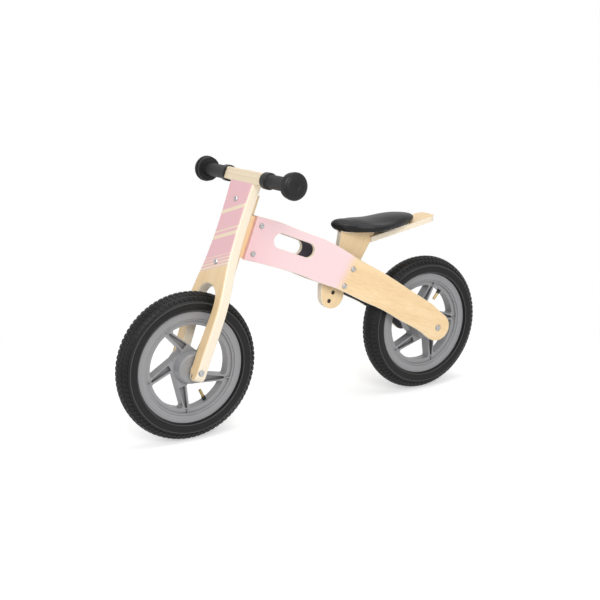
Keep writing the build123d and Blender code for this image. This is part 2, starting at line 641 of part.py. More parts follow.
with BuildPart() as steering_pin:
    with BuildSketch(steering_plane(BRACKET_LOWS[0] - PIN_HEAD_H)):
        Circle(PIN_HEAD_D / 2)
    extrude(amount=PIN_HEAD_H)
    with BuildSketch(steering_plane(BRACKET_LOWS[0])):
        Circle(STEER_PIN_D / 2)
    extrude(amount=BRACKET_LOWS[1] + BRACKET_L + PIN_NUT_H - 1.5 - BRACKET_LOWS[0])
save(steering_pin.part, "steering_pin")

with BuildPart() as steering_pin_nut:
    with BuildSketch(steering_plane(BRACKET_LOWS[1] + BRACKET_L)):
        RegularPolygon(PIN_HEAD_D / 2 - 0.5, 6, major_radius=False)
    extrude(amount=PIN_NUT_H)
    with BuildSketch(steering_plane(BRACKET_LOWS[1] + BRACKET_L)):
        Circle(STEER_PIN_D / 2)
    extrude(amount=PIN_NUT_H - 1.5, mode=Mode.SUBTRACT)
save(steering_pin_nut.part, "steering_pin_nut")

with BuildPart() as bracket_screws:
    with BuildSketch(FORK_PLANE.offset(FORK_FRONT)):
        with Locations(*[(0, s) for s in BRACKET_SCREWS]):
            Circle(BOLT_HEAD_D / 2)
    extrude(amount=BOLT_HEAD_H, taper=30)
    with BuildSketch(FORK_PLANE.offset(FORK_FRONT)):
        with Locations(*[(0, s) for s in BRACKET_SCREWS]):
            Circle(BOLT_D / 2)
    extrude(amount=-FORK_T - BRACKET_SCREW_DEPTH)
    with BuildSketch(FORK_PLANE.offset(FORK_FRONT + BOLT_HEAD_H)):
        with Locations(*[(0, s) for s in BRACKET_SCREWS]):
            RegularPolygon(2.0, 6, major_radius=False)
    extrude(amount=-1.6, mode=Mode.SUBTRACT)
save(bracket_screws.part, "bracket_screws")

with BuildPart() as fork_end_screws:
    with BuildSketch(FORK_PLANE.offset(FORK_FRONT - 1.0)):
        with Locations((LEG_SCREW_Y, LEG_SCREW_S), (-LEG_SCREW_Y, LEG_SCREW_S)):
            Circle(SCREW_HEAD_D / 2)
    extrude(amount=-SCREW_HEAD_H)
    with BuildSketch(FORK_PLANE.offset(FORK_FRONT - 1.0)):
        with Locations((LEG_SCREW_Y, LEG_SCREW_S), (-LEG_SCREW_Y, LEG_SCREW_S)):
            Circle(SCREW_D / 2)
    extrude(amount=-LEG_SCREW_L + 1.5)
    with BuildSketch(FORK_PLANE.offset(FORK_FRONT - 1.0)):
        with Locations((LEG_SCREW_Y, LEG_SCREW_S), (-LEG_SCREW_Y, LEG_SCREW_S)):
            RegularPolygon(1.5, 6, major_radius=False)
    extrude(amount=-2.0, mode=Mode.SUBTRACT)
save(fork_end_screws.part, "fork_end_screws")

# ---------------------------------------------------------------- handlebar and grips
BAR_AXIS_POINT = FRONT_AXLE + FORWARD * BAR_P + UP_AXIS * BAR_S
BAR_SECTION = Plane(origin=BAR_AXIS_POINT, x_dir=FORWARD, z_dir=(0, -1, 0))
BAR_PROFILE = Plane(origin=BAR_AXIS_POINT, x_dir=FORWARD, z_dir=UP_AXIS)
BAR_AXIS = Axis(BAR_AXIS_POINT, (0, 1, 0))

with BuildPart() as handlebar:
    with BuildSketch(BAR_SECTION):
        Rectangle(BAR_D, BAR_H)
    extrude(amount=BAR_HALF_L, both=True)
    fillet(handlebar.edges().filter_by(Axis.Y).sort_by(Axis(BAR_AXIS_POINT, UP_AXIS))[-2:], BAR_ROUND)
    with BuildSketch(BAR_SECTION):
        Circle(TENON_D / 2)
    extrude(amount=TENON_END, both=True)
    with BuildSketch(steering_plane(FORK_TOP)):
        with Locations((PIVOT_BACK + BAR_P, DOWEL_Y), (PIVOT_BACK + BAR_P, -DOWEL_Y)):
            Circle(DOWEL_D / 2)
    extrude(amount=DOWEL_L / 2, mode=Mode.SUBTRACT)
save(handlebar.part, "handlebar")

with BuildPart() as handlebar_dowels:
    with BuildSketch(steering_plane(FORK_TOP)):
        with Locations((PIVOT_BACK + BAR_P, DOWEL_Y), (PIVOT_BACK + BAR_P, -DOWEL_Y)):
            Circle(DOWEL_D / 2)
    extrude(amount=DOWEL_L / 2, both=True)
save(handlebar_dowels.part, "handlebar_dowels")


def make_grip(side, name):
    collar_end = BAR_HALF_L + GRIP_COLLAR_L
    flange_r = GRIP_FLANGE_D / 2
    lip = GRIP_FLANGE_START + 6.0
    outline = [
        (TENON_D / 2, BAR_HALF_L), (GRIP_COLLAR_D / 2, BAR_HALF_L), (GRIP_COLLAR_D / 2, collar_end),
        (GRIP_TUBE_D / 2, collar_end), (GRIP_TUBE_D / 2, GRIP_FLANGE_START),
        (flange_r - 1.5, GRIP_FLANGE_START), (flange_r - 1.5, lip), (flange_r - 3.0, lip),
        (flange_r - 3.0, lip + 2.0), (flange_r, lip + 2.0), (flange_r, GRIP_END - 6.0),
        (flange_r - 2.5, GRIP_END - 1.5), (flange_r - 8.0, GRIP_END), (5.0, GRIP_END),
        (4.0, GRIP_END - 1.5), (0, GRIP_END - 2.0), (0, TENON_END), (TENON_D / 2, TENON_END),
    ]
    with BuildPart() as grip:
        with BuildSketch(BAR_PROFILE):
            with BuildLine():
                Polyline(*[(r, side * y) for r, y in outline], close=True)
            make_face()
        revolve(axis=BAR_AXIS)
    save(grip.part, name)


make_grip(1, "grip_left")
make_grip(-1, "grip_right")

# ---------------------------------------------------------------- frame boards
# Upper and lower edges of the boards in side view, from the head to the tail: shares of the
# wheelbase from the rear axle, and heights above the axles as shares of HEAD_DRAWN.
BOARD_TOP_EDGE = [
    (0.6471, 0.8328), (0.5684, 0.7684), (0.4891, 0.7062), (0.4095, 0.6307), (0.3255, 0.5300),
    (0.2234, 0.4180), (0.1650, 0.3455), (0.0797, 0.2393), (0.0100, 0.1483),
]
BOARD_LOW_EDGE = [
    (0.6902, 0.5653), (0.5712, 0.4811), (0.4910, 0.4118), (0.4105, 0.3483), (0.3095, 0.2467),
    (0.2269, 0.1678), (0.1638, 0.0920), (0.0560, -0.0375),
]
TAIL_CENTRE = (REAR_AXLE_X + 2.0, AXLE_Z + 2.0)
TAIL_SPAN = (128.0, -94.0)     # where the round tail begins and ends, from level ahead


def tail_point(angle):
    return (TAIL_CENTRE[0] + TAIL_R * cos(radians(angle)), TAIL_CENTRE[1] + TAIL_R * sin(radians(angle)))


def board_edge(points):
    edge = []
    for share, height in points:
        x = REAR_AXLE_X + share * WHEEL_BASE
        edge.append((x, AXLE_Z + height * HEAD_DRAWN + head_follow(x)))
    return edge


def slot_outline():
    return Location((SLOT_X, AXLE_Z + SLOT_RISE + head_follow(SLOT_X), 0), (0, 0, 1), SLOT_ANGLE)


def edge_is_across(edge):
    """True for the short edges that run through the board's thickness."""
    return abs((edge % 0.5).Y) > 0.8


with BuildPart() as board_blank:
    bend_end = FLEX_START_X - FLEX_LENGTH
    bend_mid = FLEX_START_X - FLEX_LENGTH / 2
    tail_x = REAR_AXLE_X - TAIL_R - 10.0
    slant = radians(SPRING_ANGLE)
    inner_r = FLEX_R + BOARD_T
    centre_y = FRAME_HALF_W + FLEX_R
    inner_end = (FLEX_START_X - inner_r * sin(slant), centre_y - inner_r * cos(slant))
    inner_mid = (FLEX_START_X - inner_r * sin(slant / 2), centre_y - inner_r * cos(slant / 2))
    tail_inner_y = inner_end[1] + (inner_end[0] - tail_x) * tan(slant)
    with BuildSketch(Plane.XY):
        with BuildLine():
            Line((FRONT_AXLE_X, FRAME_HALF_W), (FLEX_START_X, FRAME_HALF_W))
            ThreePointArc((FLEX_START_X, FRAME_HALF_W), (bend_mid, board_outer(bend_mid)),
                          (bend_end, board_outer(bend_end)))
            Polyline((bend_end, board_outer(bend_end)), (tail_x, board_outer(tail_x)),
                     (tail_x, tail_inner_y), inner_end)
            ThreePointArc(inner_end, inner_mid, (FLEX_START_X, HEAD_GAP / 2))
            Polyline((FLEX_START_X, HEAD_GAP / 2), (FRONT_AXLE_X, HEAD_GAP / 2),
                     (FRONT_AXLE_X, FRAME_HALF_W))
        make_face()
    extrude(amount=4 * TYRE_R)
    with BuildSketch(Plane.XZ):
        with BuildLine():
            top = [head_point(BOARD_FRONT, HEAD_HIGH)] + board_edge(BOARD_TOP_EDGE)
            low = [head_point(BOARD_FRONT, HEAD_LOW)] + board_edge(BOARD_LOW_EDGE)
            Line(low[0], top[0])
            Spline(*top, tail_point(TAIL_SPAN[0]), tangents=((-0.9, -0.3), (-0.78, -0.62)))
            ThreePointArc(tail_point(TAIL_SPAN[0]), tail_point(180.0), tail_point(TAIL_SPAN[1]))
            Spline(tail_point(TAIL_SPAN[1]), *reversed(low), tangents=((1, -0.07), (0.96, 0.3)))
        make_face()
        with Locations(slot_outline()):
            SlotOverall(SLOT_LENGTH, SLOT_H, mode=Mode.SUBTRACT)
    extrude(amount=2 * TYRE_R, both=True, mode=Mode.INTERSECT)
    fillet(board_blank.edges().filter_by(lambda e: not edge_is_across(e)), BOARD_ROUND)


def make_board(side, bolt_d, name):
    """Side is 1 for the left board and -1 for the right; bolt_d is the size of its bolt holes."""
    with BuildPart() as board:
        if side > 0:
            add(board_blank.part)
        else:
            mirror(board_blank.part, about=Plane.XZ)
        for place in SEAT_BOLTS:
            drill_board(side, place, bolt_d)
        drill_board(side, (REAR_AXLE_X, AXLE_Z), AXLE_D)
        for along in HEAD_BOLTS:
            with BuildSketch(Plane.XZ):
                with Locations(head_point(HEAD_BOLT_AT, along)):
                    Circle(bolt_d / 2)
            extrude(amount=-side * 2 * FRAME_HALF_W, mode=Mode.SUBTRACT)
    save(board.part, name)


def drill_board(side, place, hole_d):
    """Bolt hole with a flat seat on each face, cut in the active board."""
    x, z = place
    with BuildSketch(Plane.XZ) as hole:
        with Locations((x, z)):
            Circle(hole_d / 2)
    extrude(hole.sketch, amount=-side * 2 * TYRE_R, mode=Mode.SUBTRACT)
    with BuildSketch(Plane.XZ.offset(-side * seat_out(x))) as outer_seat:
        with Locations((x, z)):
            Circle(SPOT_FACE_D / 2)
    extrude(outer_seat.sketch, amount=-side * TYRE_R, mode=Mode.SUBTRACT)
    with BuildSketch(Plane.XZ) as inner_seat:
        with Locations((x, z)):
            Circle(SPOT_FACE_D / 2)
    extrude(inner_seat.sketch, amount=-side * seat_in(x), mode=Mode.SUBTRACT)


make_board(1, BOLT_D, "frame_board_left")
make_board(-1, SLEEVE_D, "frame_board_right")

# ---------------------------------------------------------------- head block and its bushes
BLOCK_LOW = HEAD_LOW + BUSH_FLANGE_T
BLOCK_HIGH = HEAD_HIGH - BUSH_FLANGE_T
BLOCK_NOSE = PIVOT_GAP - 2.5 - HEAD_GAP / 2   # centre of the rounded front, from the steering axis
BLOCK_TAIL = BLOCK_BACK + PIVOT_BACK

with BuildPart() as head_block:
    with BuildSketch(steering_plane(BLOCK_LOW)):
        with Locations(((BLOCK_NOSE + BLOCK_TAIL) / 2, 0)):
            Rectangle(BLOCK_NOSE - BLOCK_TAIL, HEAD_GAP)
        with Locations((BLOCK_NOSE, 0)):
            Circle(HEAD_GAP / 2)
        Circle(STEER_PIN_D / 2 + 0.5, mode=Mode.SUBTRACT)
    extrude(amount=BLOCK_HIGH - BLOCK_LOW)
    with BuildSketch(steering_plane(BLOCK_LOW)):
        Circle(BUSH_OD / 2)
    extrude(amount=BUSH_L, mode=Mode.SUBTRACT)
    with BuildSketch(steering_plane(BLOCK_HIGH)):
        Circle(BUSH_OD / 2)
    extrude(amount=-BUSH_L, mode=Mode.SUBTRACT)
    with BuildSketch(Plane.XZ):
        with Locations(*[head_point(HEAD_BOLT_AT, s) for s in HEAD_BOLTS]):
            Circle(BOLT_D / 2)
    extrude(amount=HEAD_GAP, both=True, mode=Mode.SUBTRACT)
    with BuildSketch(Plane.XZ.offset(FRAME_HALF_W - SLEEVE_L)):
        with Locations(*[head_point(HEAD_BOLT_AT, s) for s in HEAD_BOLTS]):
            Circle(SLEEVE_D / 2)
    extrude(amount=HEAD_GAP, mode=Mode.SUBTRACT)
save(head_block.part, "head_block")

with BuildPart() as head_bushes:
    for end, turn in ((BLOCK_LOW, 1), (BLOCK_HIGH, -1)):
        with BuildSketch(steering_plane(end)):
            Circle(BUSH_OD / 2)
            Circle(STEER_PIN_D / 2 + RUN_CLEARANCE, mode=Mode.SUBTRACT)
        extrude(amount=turn * BUSH_L)
        with BuildSketch(steering_plane(end)):
            Circle(BUSH_FLANGE_D / 2)
            Circle(STEER_PIN_D / 2 + RUN_CLEARANCE, mode=Mode.SUBTRACT)
        extrude(amount=-turn * BUSH_FLANGE_T)
save(head_bushes.part, "head_bushes")


# ---------------------------------------------------------------- bolts across the frame
def make_cross_bolts(places, bolts_name, nuts_name):
    """Domed bolts from the left and domed sleeve nuts from the right; places holds (x, z, y)."""
    with BuildPart() as bolts:
        for x, z, half_w in places:
            with BuildSketch(Plane.XZ.offset(-half_w)):
                with Locations((x, z)):
                    Circle(BOLT_HEAD_D / 2)
            extrude(amount=-BOLT_HEAD_H, taper=30)
            with BuildSketch(Plane.XZ.offset(-half_w)):
                with Locations((x, z)):
                    Circle(BOLT_D / 2)
            extrude(amount=2 * half_w - 5.0)
            with BuildSketch(Plane.XZ.offset(-half_w - BOLT_HEAD_H)):
                with Locations((x, z)):
                    RegularPolygon(2.0, 6, major_radius=False)
            extrude(amount=1.6, mode=Mode.SUBTRACT)
    save(bolts.part, bolts_name)
    with BuildPart() as nuts:
        for x, z, half_w in places:
            with BuildSketch(Plane.XZ.offset(half_w)):
                with Locations((x, z)):
                    Circle(BOLT_HEAD_D / 2)
            extrude(amount=BOLT_HEAD_H, taper=30)
            with BuildSketch(Plane.XZ.offset(half_w)):
                with Locations((x, z)):
                    Circle(SLEEVE_D / 2)
            extrude(amount=-SLEEVE_L)
            with BuildSketch(Plane.XZ.offset(half_w - SLEEVE_L)):
                with Locations((x, z)):
                    Circle(BOLT_D / 2)
            extrude(amount=SLEEVE_L, mode=Mode.SUBTRACT)
            with BuildSketch(Plane.XZ.offset(half_w + BOLT_HEAD_H)):
                with Locations((x, z)):
                    RegularPolygon(2.0, 6, major_radius=False)
            extrude(amount=-1.6, mode=Mode.SUBTRACT)
    save(nuts.part, nuts_name)


make_cross_bolts([(*head_point(HEAD_BOLT_AT, s), FRAME_HALF_W) for s in HEAD_BOLTS],
                 "head_bolts", "head_sleeve_nuts")
make_cross_bolts([(x, z, seat_out(x)) for x, z in SEAT_BOLTS], "seat_bolts", "seat_sleeve_nuts")


def make_post_spacers(side, bore, name):
    with BuildPart() as spacers:
        for x, z in SEAT_BOLTS:
            with BuildSketch(Plane.XZ.offset(-side * POST_T / 2)):
                with Locations((x, z)):
                    Circle(SPACER_OD / 2)
                    Circle(bore / 2, mode=Mode.SUBTRACT)
            extrude(amount=-side * (seat_in(x) - POST_T / 2))
    save(spacers.part, name)


make_post_spacers(1, BOLT_D, "post_spacers_left")
make_post_spacers(-1, SLEEVE_D, "post_spacers_right")

# ---------------------------------------------------------------- seat post
POST_TOP_Z = AXLE_Z + POST_TOP_RISE
POST_FRONT = [post_point(POST_EDGE_HIGH, POST_EDGE_AHEAD), post_point(POST_EDGE_LOW, POST_EDGE_AHEAD)]
BRACE_SLOPE = tan(radians(BRACE_ANGLE))
BRACE_DROP = BRACE_T / cos(radians(BRACE_ANGLE))
BASE_SCREW_X = (-95.0, -145.0)
BASE_SCREW_L = 34.0

with BuildPart() as seat_post:
    with BuildSketch(Plane.XZ):
        with BuildLine():
            foot_front = (POST_END_X + POST_END_R, AXLE_Z + POST_END_RISE)
            foot_rear = (POST_END_X - POST_END_R, AXLE_Z + POST_END_RISE)
            Polyline((POST_TOP_REAR, POST_TOP_Z), (POST_TOP_FRONT, POST_TOP_Z), *POST_FRONT, foot_front)
            ThreePointArc(foot_front, (POST_END_X, AXLE_Z + POST_END_RISE - POST_END_R), foot_rear)
            Line(foot_rear, (POST_TOP_REAR, POST_TOP_Z))
        make_face()
    extrude(amount=POST_T / 2, both=True)
    uprights = seat_post.edges().filter_by(Axis.Y)
    uprights = uprights.filter_by(lambda e: e.center().Z < POST_TOP_Z - 1)
    fillet(uprights, 14.0)
    fillet(seat_post.faces().filter_by(Axis.Y).edges().filter_by(
        lambda e: e.center().Z < POST_TOP_Z - 1), POST_ROUND)
    with BuildSketch(Plane.XZ):
        with Locations(*[post_hole(index) for index in range(POST_HOLE_COUNT)]):
            Circle(POST_HOLE_D / 2)
    extrude(amount=POST_T, both=True, mode=Mode.SUBTRACT)
    with BuildSketch(Plane.XZ):
        with BuildLine():
            Polyline((BRACE_FRONT_X, brace_top(BRACE_FRONT_X)), (BRACE_END_X, brace_top(BRACE_END_X)),
                     (BRACE_END_X, brace_top(BRACE_END_X) - BRACE_DROP),
                     (BRACE_FRONT_X, brace_top(BRACE_FRONT_X) - BRACE_DROP), close=True)
        make_face()
    extrude(amount=POST_T, both=True, mode=Mode.SUBTRACT)
    with BuildSketch(Plane.XY.offset(POST_TOP_Z)):
        with Locations(*[(x, 0) for x in BASE_SCREW_X]):
            Circle(SCREW_D / 2)
    extrude(amount=-(BASE_SCREW_L - BASE_T), mode=Mode.SUBTRACT)
save(seat_post.part, "seat_post")

# ---------------------------------------------------------------- saddle
CUSHION_LENGTH = CUSHION_NOSE - CUSHION_TAIL
CUSHION_SHOULDER_H = CUSHION_EDGE_H + 0.65 * (CUSHION_T - CUSHION_EDGE_H)
BRACE_SCREW_X = -246.0
BRACE_SCREW_Y = 12.0
BRACE_SCREW_L = 15.5
# Half the cushion's plan: shares of its length from the nose and of its half-width.
CUSHION_PLAN = [
    (0, 0), (0.04, 0.21), (0.118, 0.40), (0.208, 0.62), (0.312, 0.885), (0.403, 1.0),
    (0.493, 0.985), (0.575, 0.90), (0.674, 0.79), (0.774, 0.66), (0.90, 0.44), (0.964, 0.235),
    (1.0, 0),
]


def cushion_outline(inset, side):
    """Points of one half of the saddle's plan, nose to tail, with its half-width less by inset."""
    middle = (CUSHION_NOSE + CUSHION_TAIL) / 2
    share = (CUSHION_HALF_W - inset) / CUSHION_HALF_W
    points = []
    for along, width in CUSHION_PLAN:
        x = CUSHION_NOSE - along * CUSHION_LENGTH
        points.append((middle + (x - middle) * share, side * width * CUSHION_HALF_W * share))
    return points


def brace_wedge(lift):
    """Cut away everything below the brace's upper face raised by lift."""
    with BuildSketch(Plane.XZ) as wedge:
        with BuildLine():
            front, end = BRACE_FRONT_X + WEDGE_MARGIN, BRACE_END_X - WEDGE_MARGIN
            Polyline((front, brace_top(front) + lift), (end, brace_top(end) + lift),
                     (end, AXLE_Z), (front, AXLE_Z), close=True)
        make_face()
    extrude(wedge.sketch, amount=2 * CUSHION_HALF_W, both=True, mode=Mode.SUBTRACT)


def saddle_plan(inset, height):
    """The saddle's plan at this height above the top of the post."""
    with BuildSketch(Plane.XY.offset(POST_TOP_Z + height)) as plan:
        with BuildLine():
            for side in (1, -1):
                Spline(*cushion_outline(inset, side), tangents=((0, side), (0, -side)),
                       tangent_scalars=(0.5, 0.5))
        make_face()
    return plan.sketch


def saddle_blank(inset, thickness, mode=Mode.ADD):
    """The saddle's plan, extruded up from the top of the post."""
    extrude(saddle_plan(inset, 0), amount=thickness, mode=mode)


def nose_cut(lift, end_x):
    """Cut away the underside from the nose, where it stands this high, back to end_x."""
    with BuildSketch(Plane.XZ) as cut:
        with BuildLine():
            Polyline((CUSHION_NOSE + 1.0, POST_TOP_Z - 1.0), (end_x, POST_TOP_Z),
                     (CUSHION_NOSE + 1.0, POST_TOP_Z + lift), close=True)
        make_face()
    extrude(cut.sketch, amount=CUSHION_HALF_W, both=True, mode=Mode.SUBTRACT)


BRACE_PLANE = Plane(origin=(BRACE_SCREW_X, 0, brace_top(BRACE_SCREW_X) - BRACE_DROP), x_dir=(0, 1, 0),
                    z_dir=(sin(radians(BRACE_ANGLE)), 0, cos(radians(BRACE_ANGLE))))

with BuildPart() as seat_base:
    saddle_blank(BASE_INSET, BASE_T)
    brace_wedge(0)
    nose_cut(CUSHION_NOSE_LIFT + 1.0, POST_TOP_FRONT - BASE_NOSE_BACK)
    with BuildSketch(Plane.XY.offset(POST_TOP_Z + BASE_T)):
        with Locations(*[(x, 0) for x in BASE_SCREW_X]):
            Circle(SCREW_D / 2)
    extrude(amount=-BASE_T, mode=Mode.SUBTRACT)
    with BuildSketch(Plane.XY.offset(POST_TOP_Z + BASE_T)):
        with Locations(*[(x, 0) for x in BASE_SCREW_X]):
            Circle(SCREW_HEAD_D / 2)
    extrude(amount=-SCREW_HEAD_H, mode=Mode.SUBTRACT)
    with BuildSketch(BRACE_PLANE):
        with Locations((BRACE_SCREW_Y, 0), (-BRACE_SCREW_Y, 0)):
            Circle(SCREW_D / 2)
    extrude(amount=BRACE_SCREW_L + 0.5, mode=Mode.SUBTRACT)
save(seat_base.part, "seat_base")

with BuildPart() as seat_cushion:
    saddle_blank(0, CUSHION_EDGE_H)
    loft([saddle_plan(0, CUSHION_EDGE_H), saddle_plan(0.3 * CUSHION_ROUND, CUSHION_SHOULDER_H)])
    loft([saddle_plan(0.3 * CUSHION_ROUND, CUSHION_SHOULDER_H), saddle_plan(CUSHION_ROUND, CUSHION_T)])
    brace_wedge(SOFT_CLEARANCE)
    saddle_blank(BASE_INSET - POCKET_CLEARANCE, BASE_T, Mode.SUBTRACT)
    nose_cut(CUSHION_NOSE_LIFT, CUSHION_NOSE - 0.24 * CUSHION_LENGTH)
    with BuildSketch(Plane.XZ):
        with BuildLine():
            Polyline((CUSHION_LIFT_X, POST_TOP_Z), (CUSHION_TAIL - 1.0, POST_TOP_Z + CUSHION_TAIL_LIFT),
                     (CUSHION_TAIL - 1.0, POST_TOP_Z - 1.0), close=True)
        make_face()
    extrude(amount=CUSHION_HALF_W, both=True, mode=Mode.SUBTRACT)
save(seat_cushion.part, "seat_cushion")

with BuildPart() as seat_base_screws:
    with BuildSketch(Plane.XY.offset(POST_TOP_Z + BASE_T)):
        with Locations(*[(x, 0) for x in BASE_SCREW_X]):
            Circle(SCREW_HEAD_D / 2)
    extrude(amount=-SCREW_HEAD_H)
    with BuildSketch(Plane.XY.offset(POST_TOP_Z + BASE_T)):
        with Locations(*[(x, 0) for x in BASE_SCREW_X]):
            Circle(SCREW_D / 2)
    extrude(amount=-BASE_SCREW_L + 0.5)
    with BuildSketch(Plane.XY.offset(POST_TOP_Z + BASE_T)):
        with Locations(*[(x, 0) for x in BASE_SCREW_X]):
            RegularPolygon(1.5, 6, major_radius=False)
    extrude(amount=-2.0, mode=Mode.SUBTRACT)
save(seat_base_screws.part, "seat_base_screws")

with BuildPart() as seat_brace:
    with BuildSketch(Plane.XZ):
        with BuildLine():
            Polyline((BRACE_FRONT_X, brace_top(BRACE_FRONT_X)), (BRACE_END_X, brace_top(BRACE_END_X)),
                     (BRACE_END_X, brace_top(BRACE_END_X) - BRACE_DROP),
                     (BRACE_FRONT_X, brace_top(BRACE_FRONT_X) - BRACE_DROP), close=True)
        make_face()
    extrude(amount=BRACE_END_HALF_W, both=True)
    with BuildSketch(Plane.XY.offset(AXLE_Z)):
        with BuildLine():
            Polyline((BRACE_FRONT_X, BRACE_FRONT_HALF_W), (BRACE_FRONT_X, -BRACE_FRONT_HALF_W),
                     (BRACE_END_X + 25.0, -BRACE_END_HALF_W), (BRACE_END_X, -BRACE_END_HALF_W),
                     (BRACE_END_X, BRACE_END_HALF_W), (BRACE_END_X + 25.0, BRACE_END_HALF_W), close=True)
        make_face()
    extrude(amount=2 * TYRE_R, mode=Mode.INTERSECT)
    fillet(seat_brace.edges().filter_by(Axis.Z).sort_by(Axis.X)[:2], 14.0)
    with BuildSketch(BRACE_PLANE):
        with Locations((BRACE_SCREW_Y, 0), (-BRACE_SCREW_Y, 0)):
            Circle(SCREW_D / 2)
    extrude(amount=BRACE_T + 1.0, mode=Mode.SUBTRACT)
    with BuildSketch(BRACE_PLANE):
        with Locations((BRACE_SCREW_Y, 0), (-BRACE_SCREW_Y, 0)):
            Circle(SCREW_HEAD_D / 2)
    extrude(amount=SCREW_HEAD_H, mode=Mode.SUBTRACT)
save(seat_brace.part, "seat_brace")

with BuildPart() as brace_screws:
    with BuildSketch(BRACE_PLANE):
        with Locations((BRACE_SCREW_Y, 0), (-BRACE_SCREW_Y, 0)):
            Circle(SCREW_HEAD_D / 2)
    extrude(amount=SCREW_HEAD_H)
    with BuildSketch(BRACE_PLANE):
        with Locations((BRACE_SCREW_Y, 0), (-BRACE_SCREW_Y, 0)):
            Circle(SCREW_D / 2)
    extrude(amount=BRACE_SCREW_L)
    with BuildSketch(BRACE_PLANE):
        with Locations((BRACE_SCREW_Y, 0), (-BRACE_SCREW_Y, 0)):
            RegularPolygon(1.5, 6, major_radius=False)
    extrude(amount=2.0, mode=Mode.SUBTRACT)
save(brace_screws.part, "brace_screws")
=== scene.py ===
import json
import math

import bmesh
import bpy
from mathutils import Matrix, Vector


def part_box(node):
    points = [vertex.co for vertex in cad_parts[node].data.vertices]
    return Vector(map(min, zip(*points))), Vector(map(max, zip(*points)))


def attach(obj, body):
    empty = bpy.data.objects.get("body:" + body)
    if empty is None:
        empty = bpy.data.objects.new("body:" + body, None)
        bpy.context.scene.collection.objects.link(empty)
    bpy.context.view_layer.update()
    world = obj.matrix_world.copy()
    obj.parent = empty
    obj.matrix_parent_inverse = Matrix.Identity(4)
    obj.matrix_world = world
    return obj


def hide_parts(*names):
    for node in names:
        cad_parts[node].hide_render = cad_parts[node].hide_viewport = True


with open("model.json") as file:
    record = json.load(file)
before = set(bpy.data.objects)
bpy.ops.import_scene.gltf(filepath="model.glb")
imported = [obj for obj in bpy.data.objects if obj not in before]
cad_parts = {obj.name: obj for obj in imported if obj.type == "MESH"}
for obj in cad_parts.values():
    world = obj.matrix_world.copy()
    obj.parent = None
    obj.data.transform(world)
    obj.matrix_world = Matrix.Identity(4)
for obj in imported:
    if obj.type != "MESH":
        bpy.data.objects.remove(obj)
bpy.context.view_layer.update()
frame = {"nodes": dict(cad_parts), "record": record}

bl_info = {
    "name": "Balance Bike",
    "version": (1, 0, 0),
    "blender": (4, 5, 0),
    "location": "3D View > Sidebar > Bike",
    "description": "Tyres, grips, saddle and finishes for a wooden balance bike",
    "category": "Object",
}

MM = 0.001
NODES = frame["nodes"]

# The steering axis leans back from the upright by 22 degrees.
HEAD_ANGLE = math.radians(68.0)
UP_FORK = Vector((-math.cos(HEAD_ANGLE), 0.0, math.sin(HEAD_ANGLE)))
AHEAD_FORK = Vector((math.sin(HEAD_ANGLE), 0.0, math.cos(HEAD_ANGLE)))


def middle(node):
    """Centre of a CAD node's box."""
    low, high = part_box(node)
    return (Vector(low) + Vector(high)) / 2


def hole(name):
    """Middle and radius of a mount's hole, in metres."""
    for mount in frame["record"]["mounts"]:
        if mount["name"] == name:
            return Vector(mount["pos_m"]), mount["dims"]["r_mm"] * MM
    raise KeyError(name)


FRONT_AXLE = middle("front_axle")
REAR_AXLE = middle("rear_axle")


def linear(code):
    """An sRGB hex colour as the linear RGBA that a shader takes."""
    values = []
    for start in (1, 3, 5):
        part = int(code[start:start + 2], 16) / 255
        values.append(part / 12.92 if part <= 0.04045 else ((part + 0.055) / 1.055) ** 2.4)
    return (*values, 1.0)


# ---- settings
def size_property(name, description, default):
    return bpy.props.FloatProperty(
        name=name, description=description, default=default, min=0.0, max=0.1,
        subtype="DISTANCE", unit="LENGTH", precision=5)


def colour_property(name, description, code):
    return bpy.props.FloatVectorProperty(
        name=name, description=description, default=linear(code), min=0.0, max=1.0,
        size=4, subtype="COLOR")


class BikeSizes(bpy.types.PropertyGroup):
    lug_height: size_property("Lug height", "How far the tread lugs stand out", 1.4 * MM)
    lug_taper: size_property("Lug taper", "How much smaller a lug is at its top, on each side", 0.45 * MM)
    tyre_section: size_property("Tyre section", "Radius of the tyre's section", 24.5 * MM)
    bead_width: size_property("Bead width", "Half the tyre's width between the rim's flanges", 14.2 * MM)
    grip_rib: size_property("Grip rib", "Height of the ribs along a grip", 0.35 * MM)
    saddle_swell: size_property("Saddle swell", "The most that the padding may bulge", 4.5 * MM)
    saddle_dip: size_property("Saddle dip", "How far the crown is hollowed between nose and tail", 9.0 * MM)
    saddle_nose: size_property("Saddle nose", "How much fuller the top of the nose is", 4.5 * MM)
    saddle_pucker: size_property("Saddle pucker", "Depth of the puckers round the saddle's nose", 1.6 * MM)
    ply_thickness: size_property("Ply thickness", "Thickness of one veneer in the plywood", 1.35 * MM)


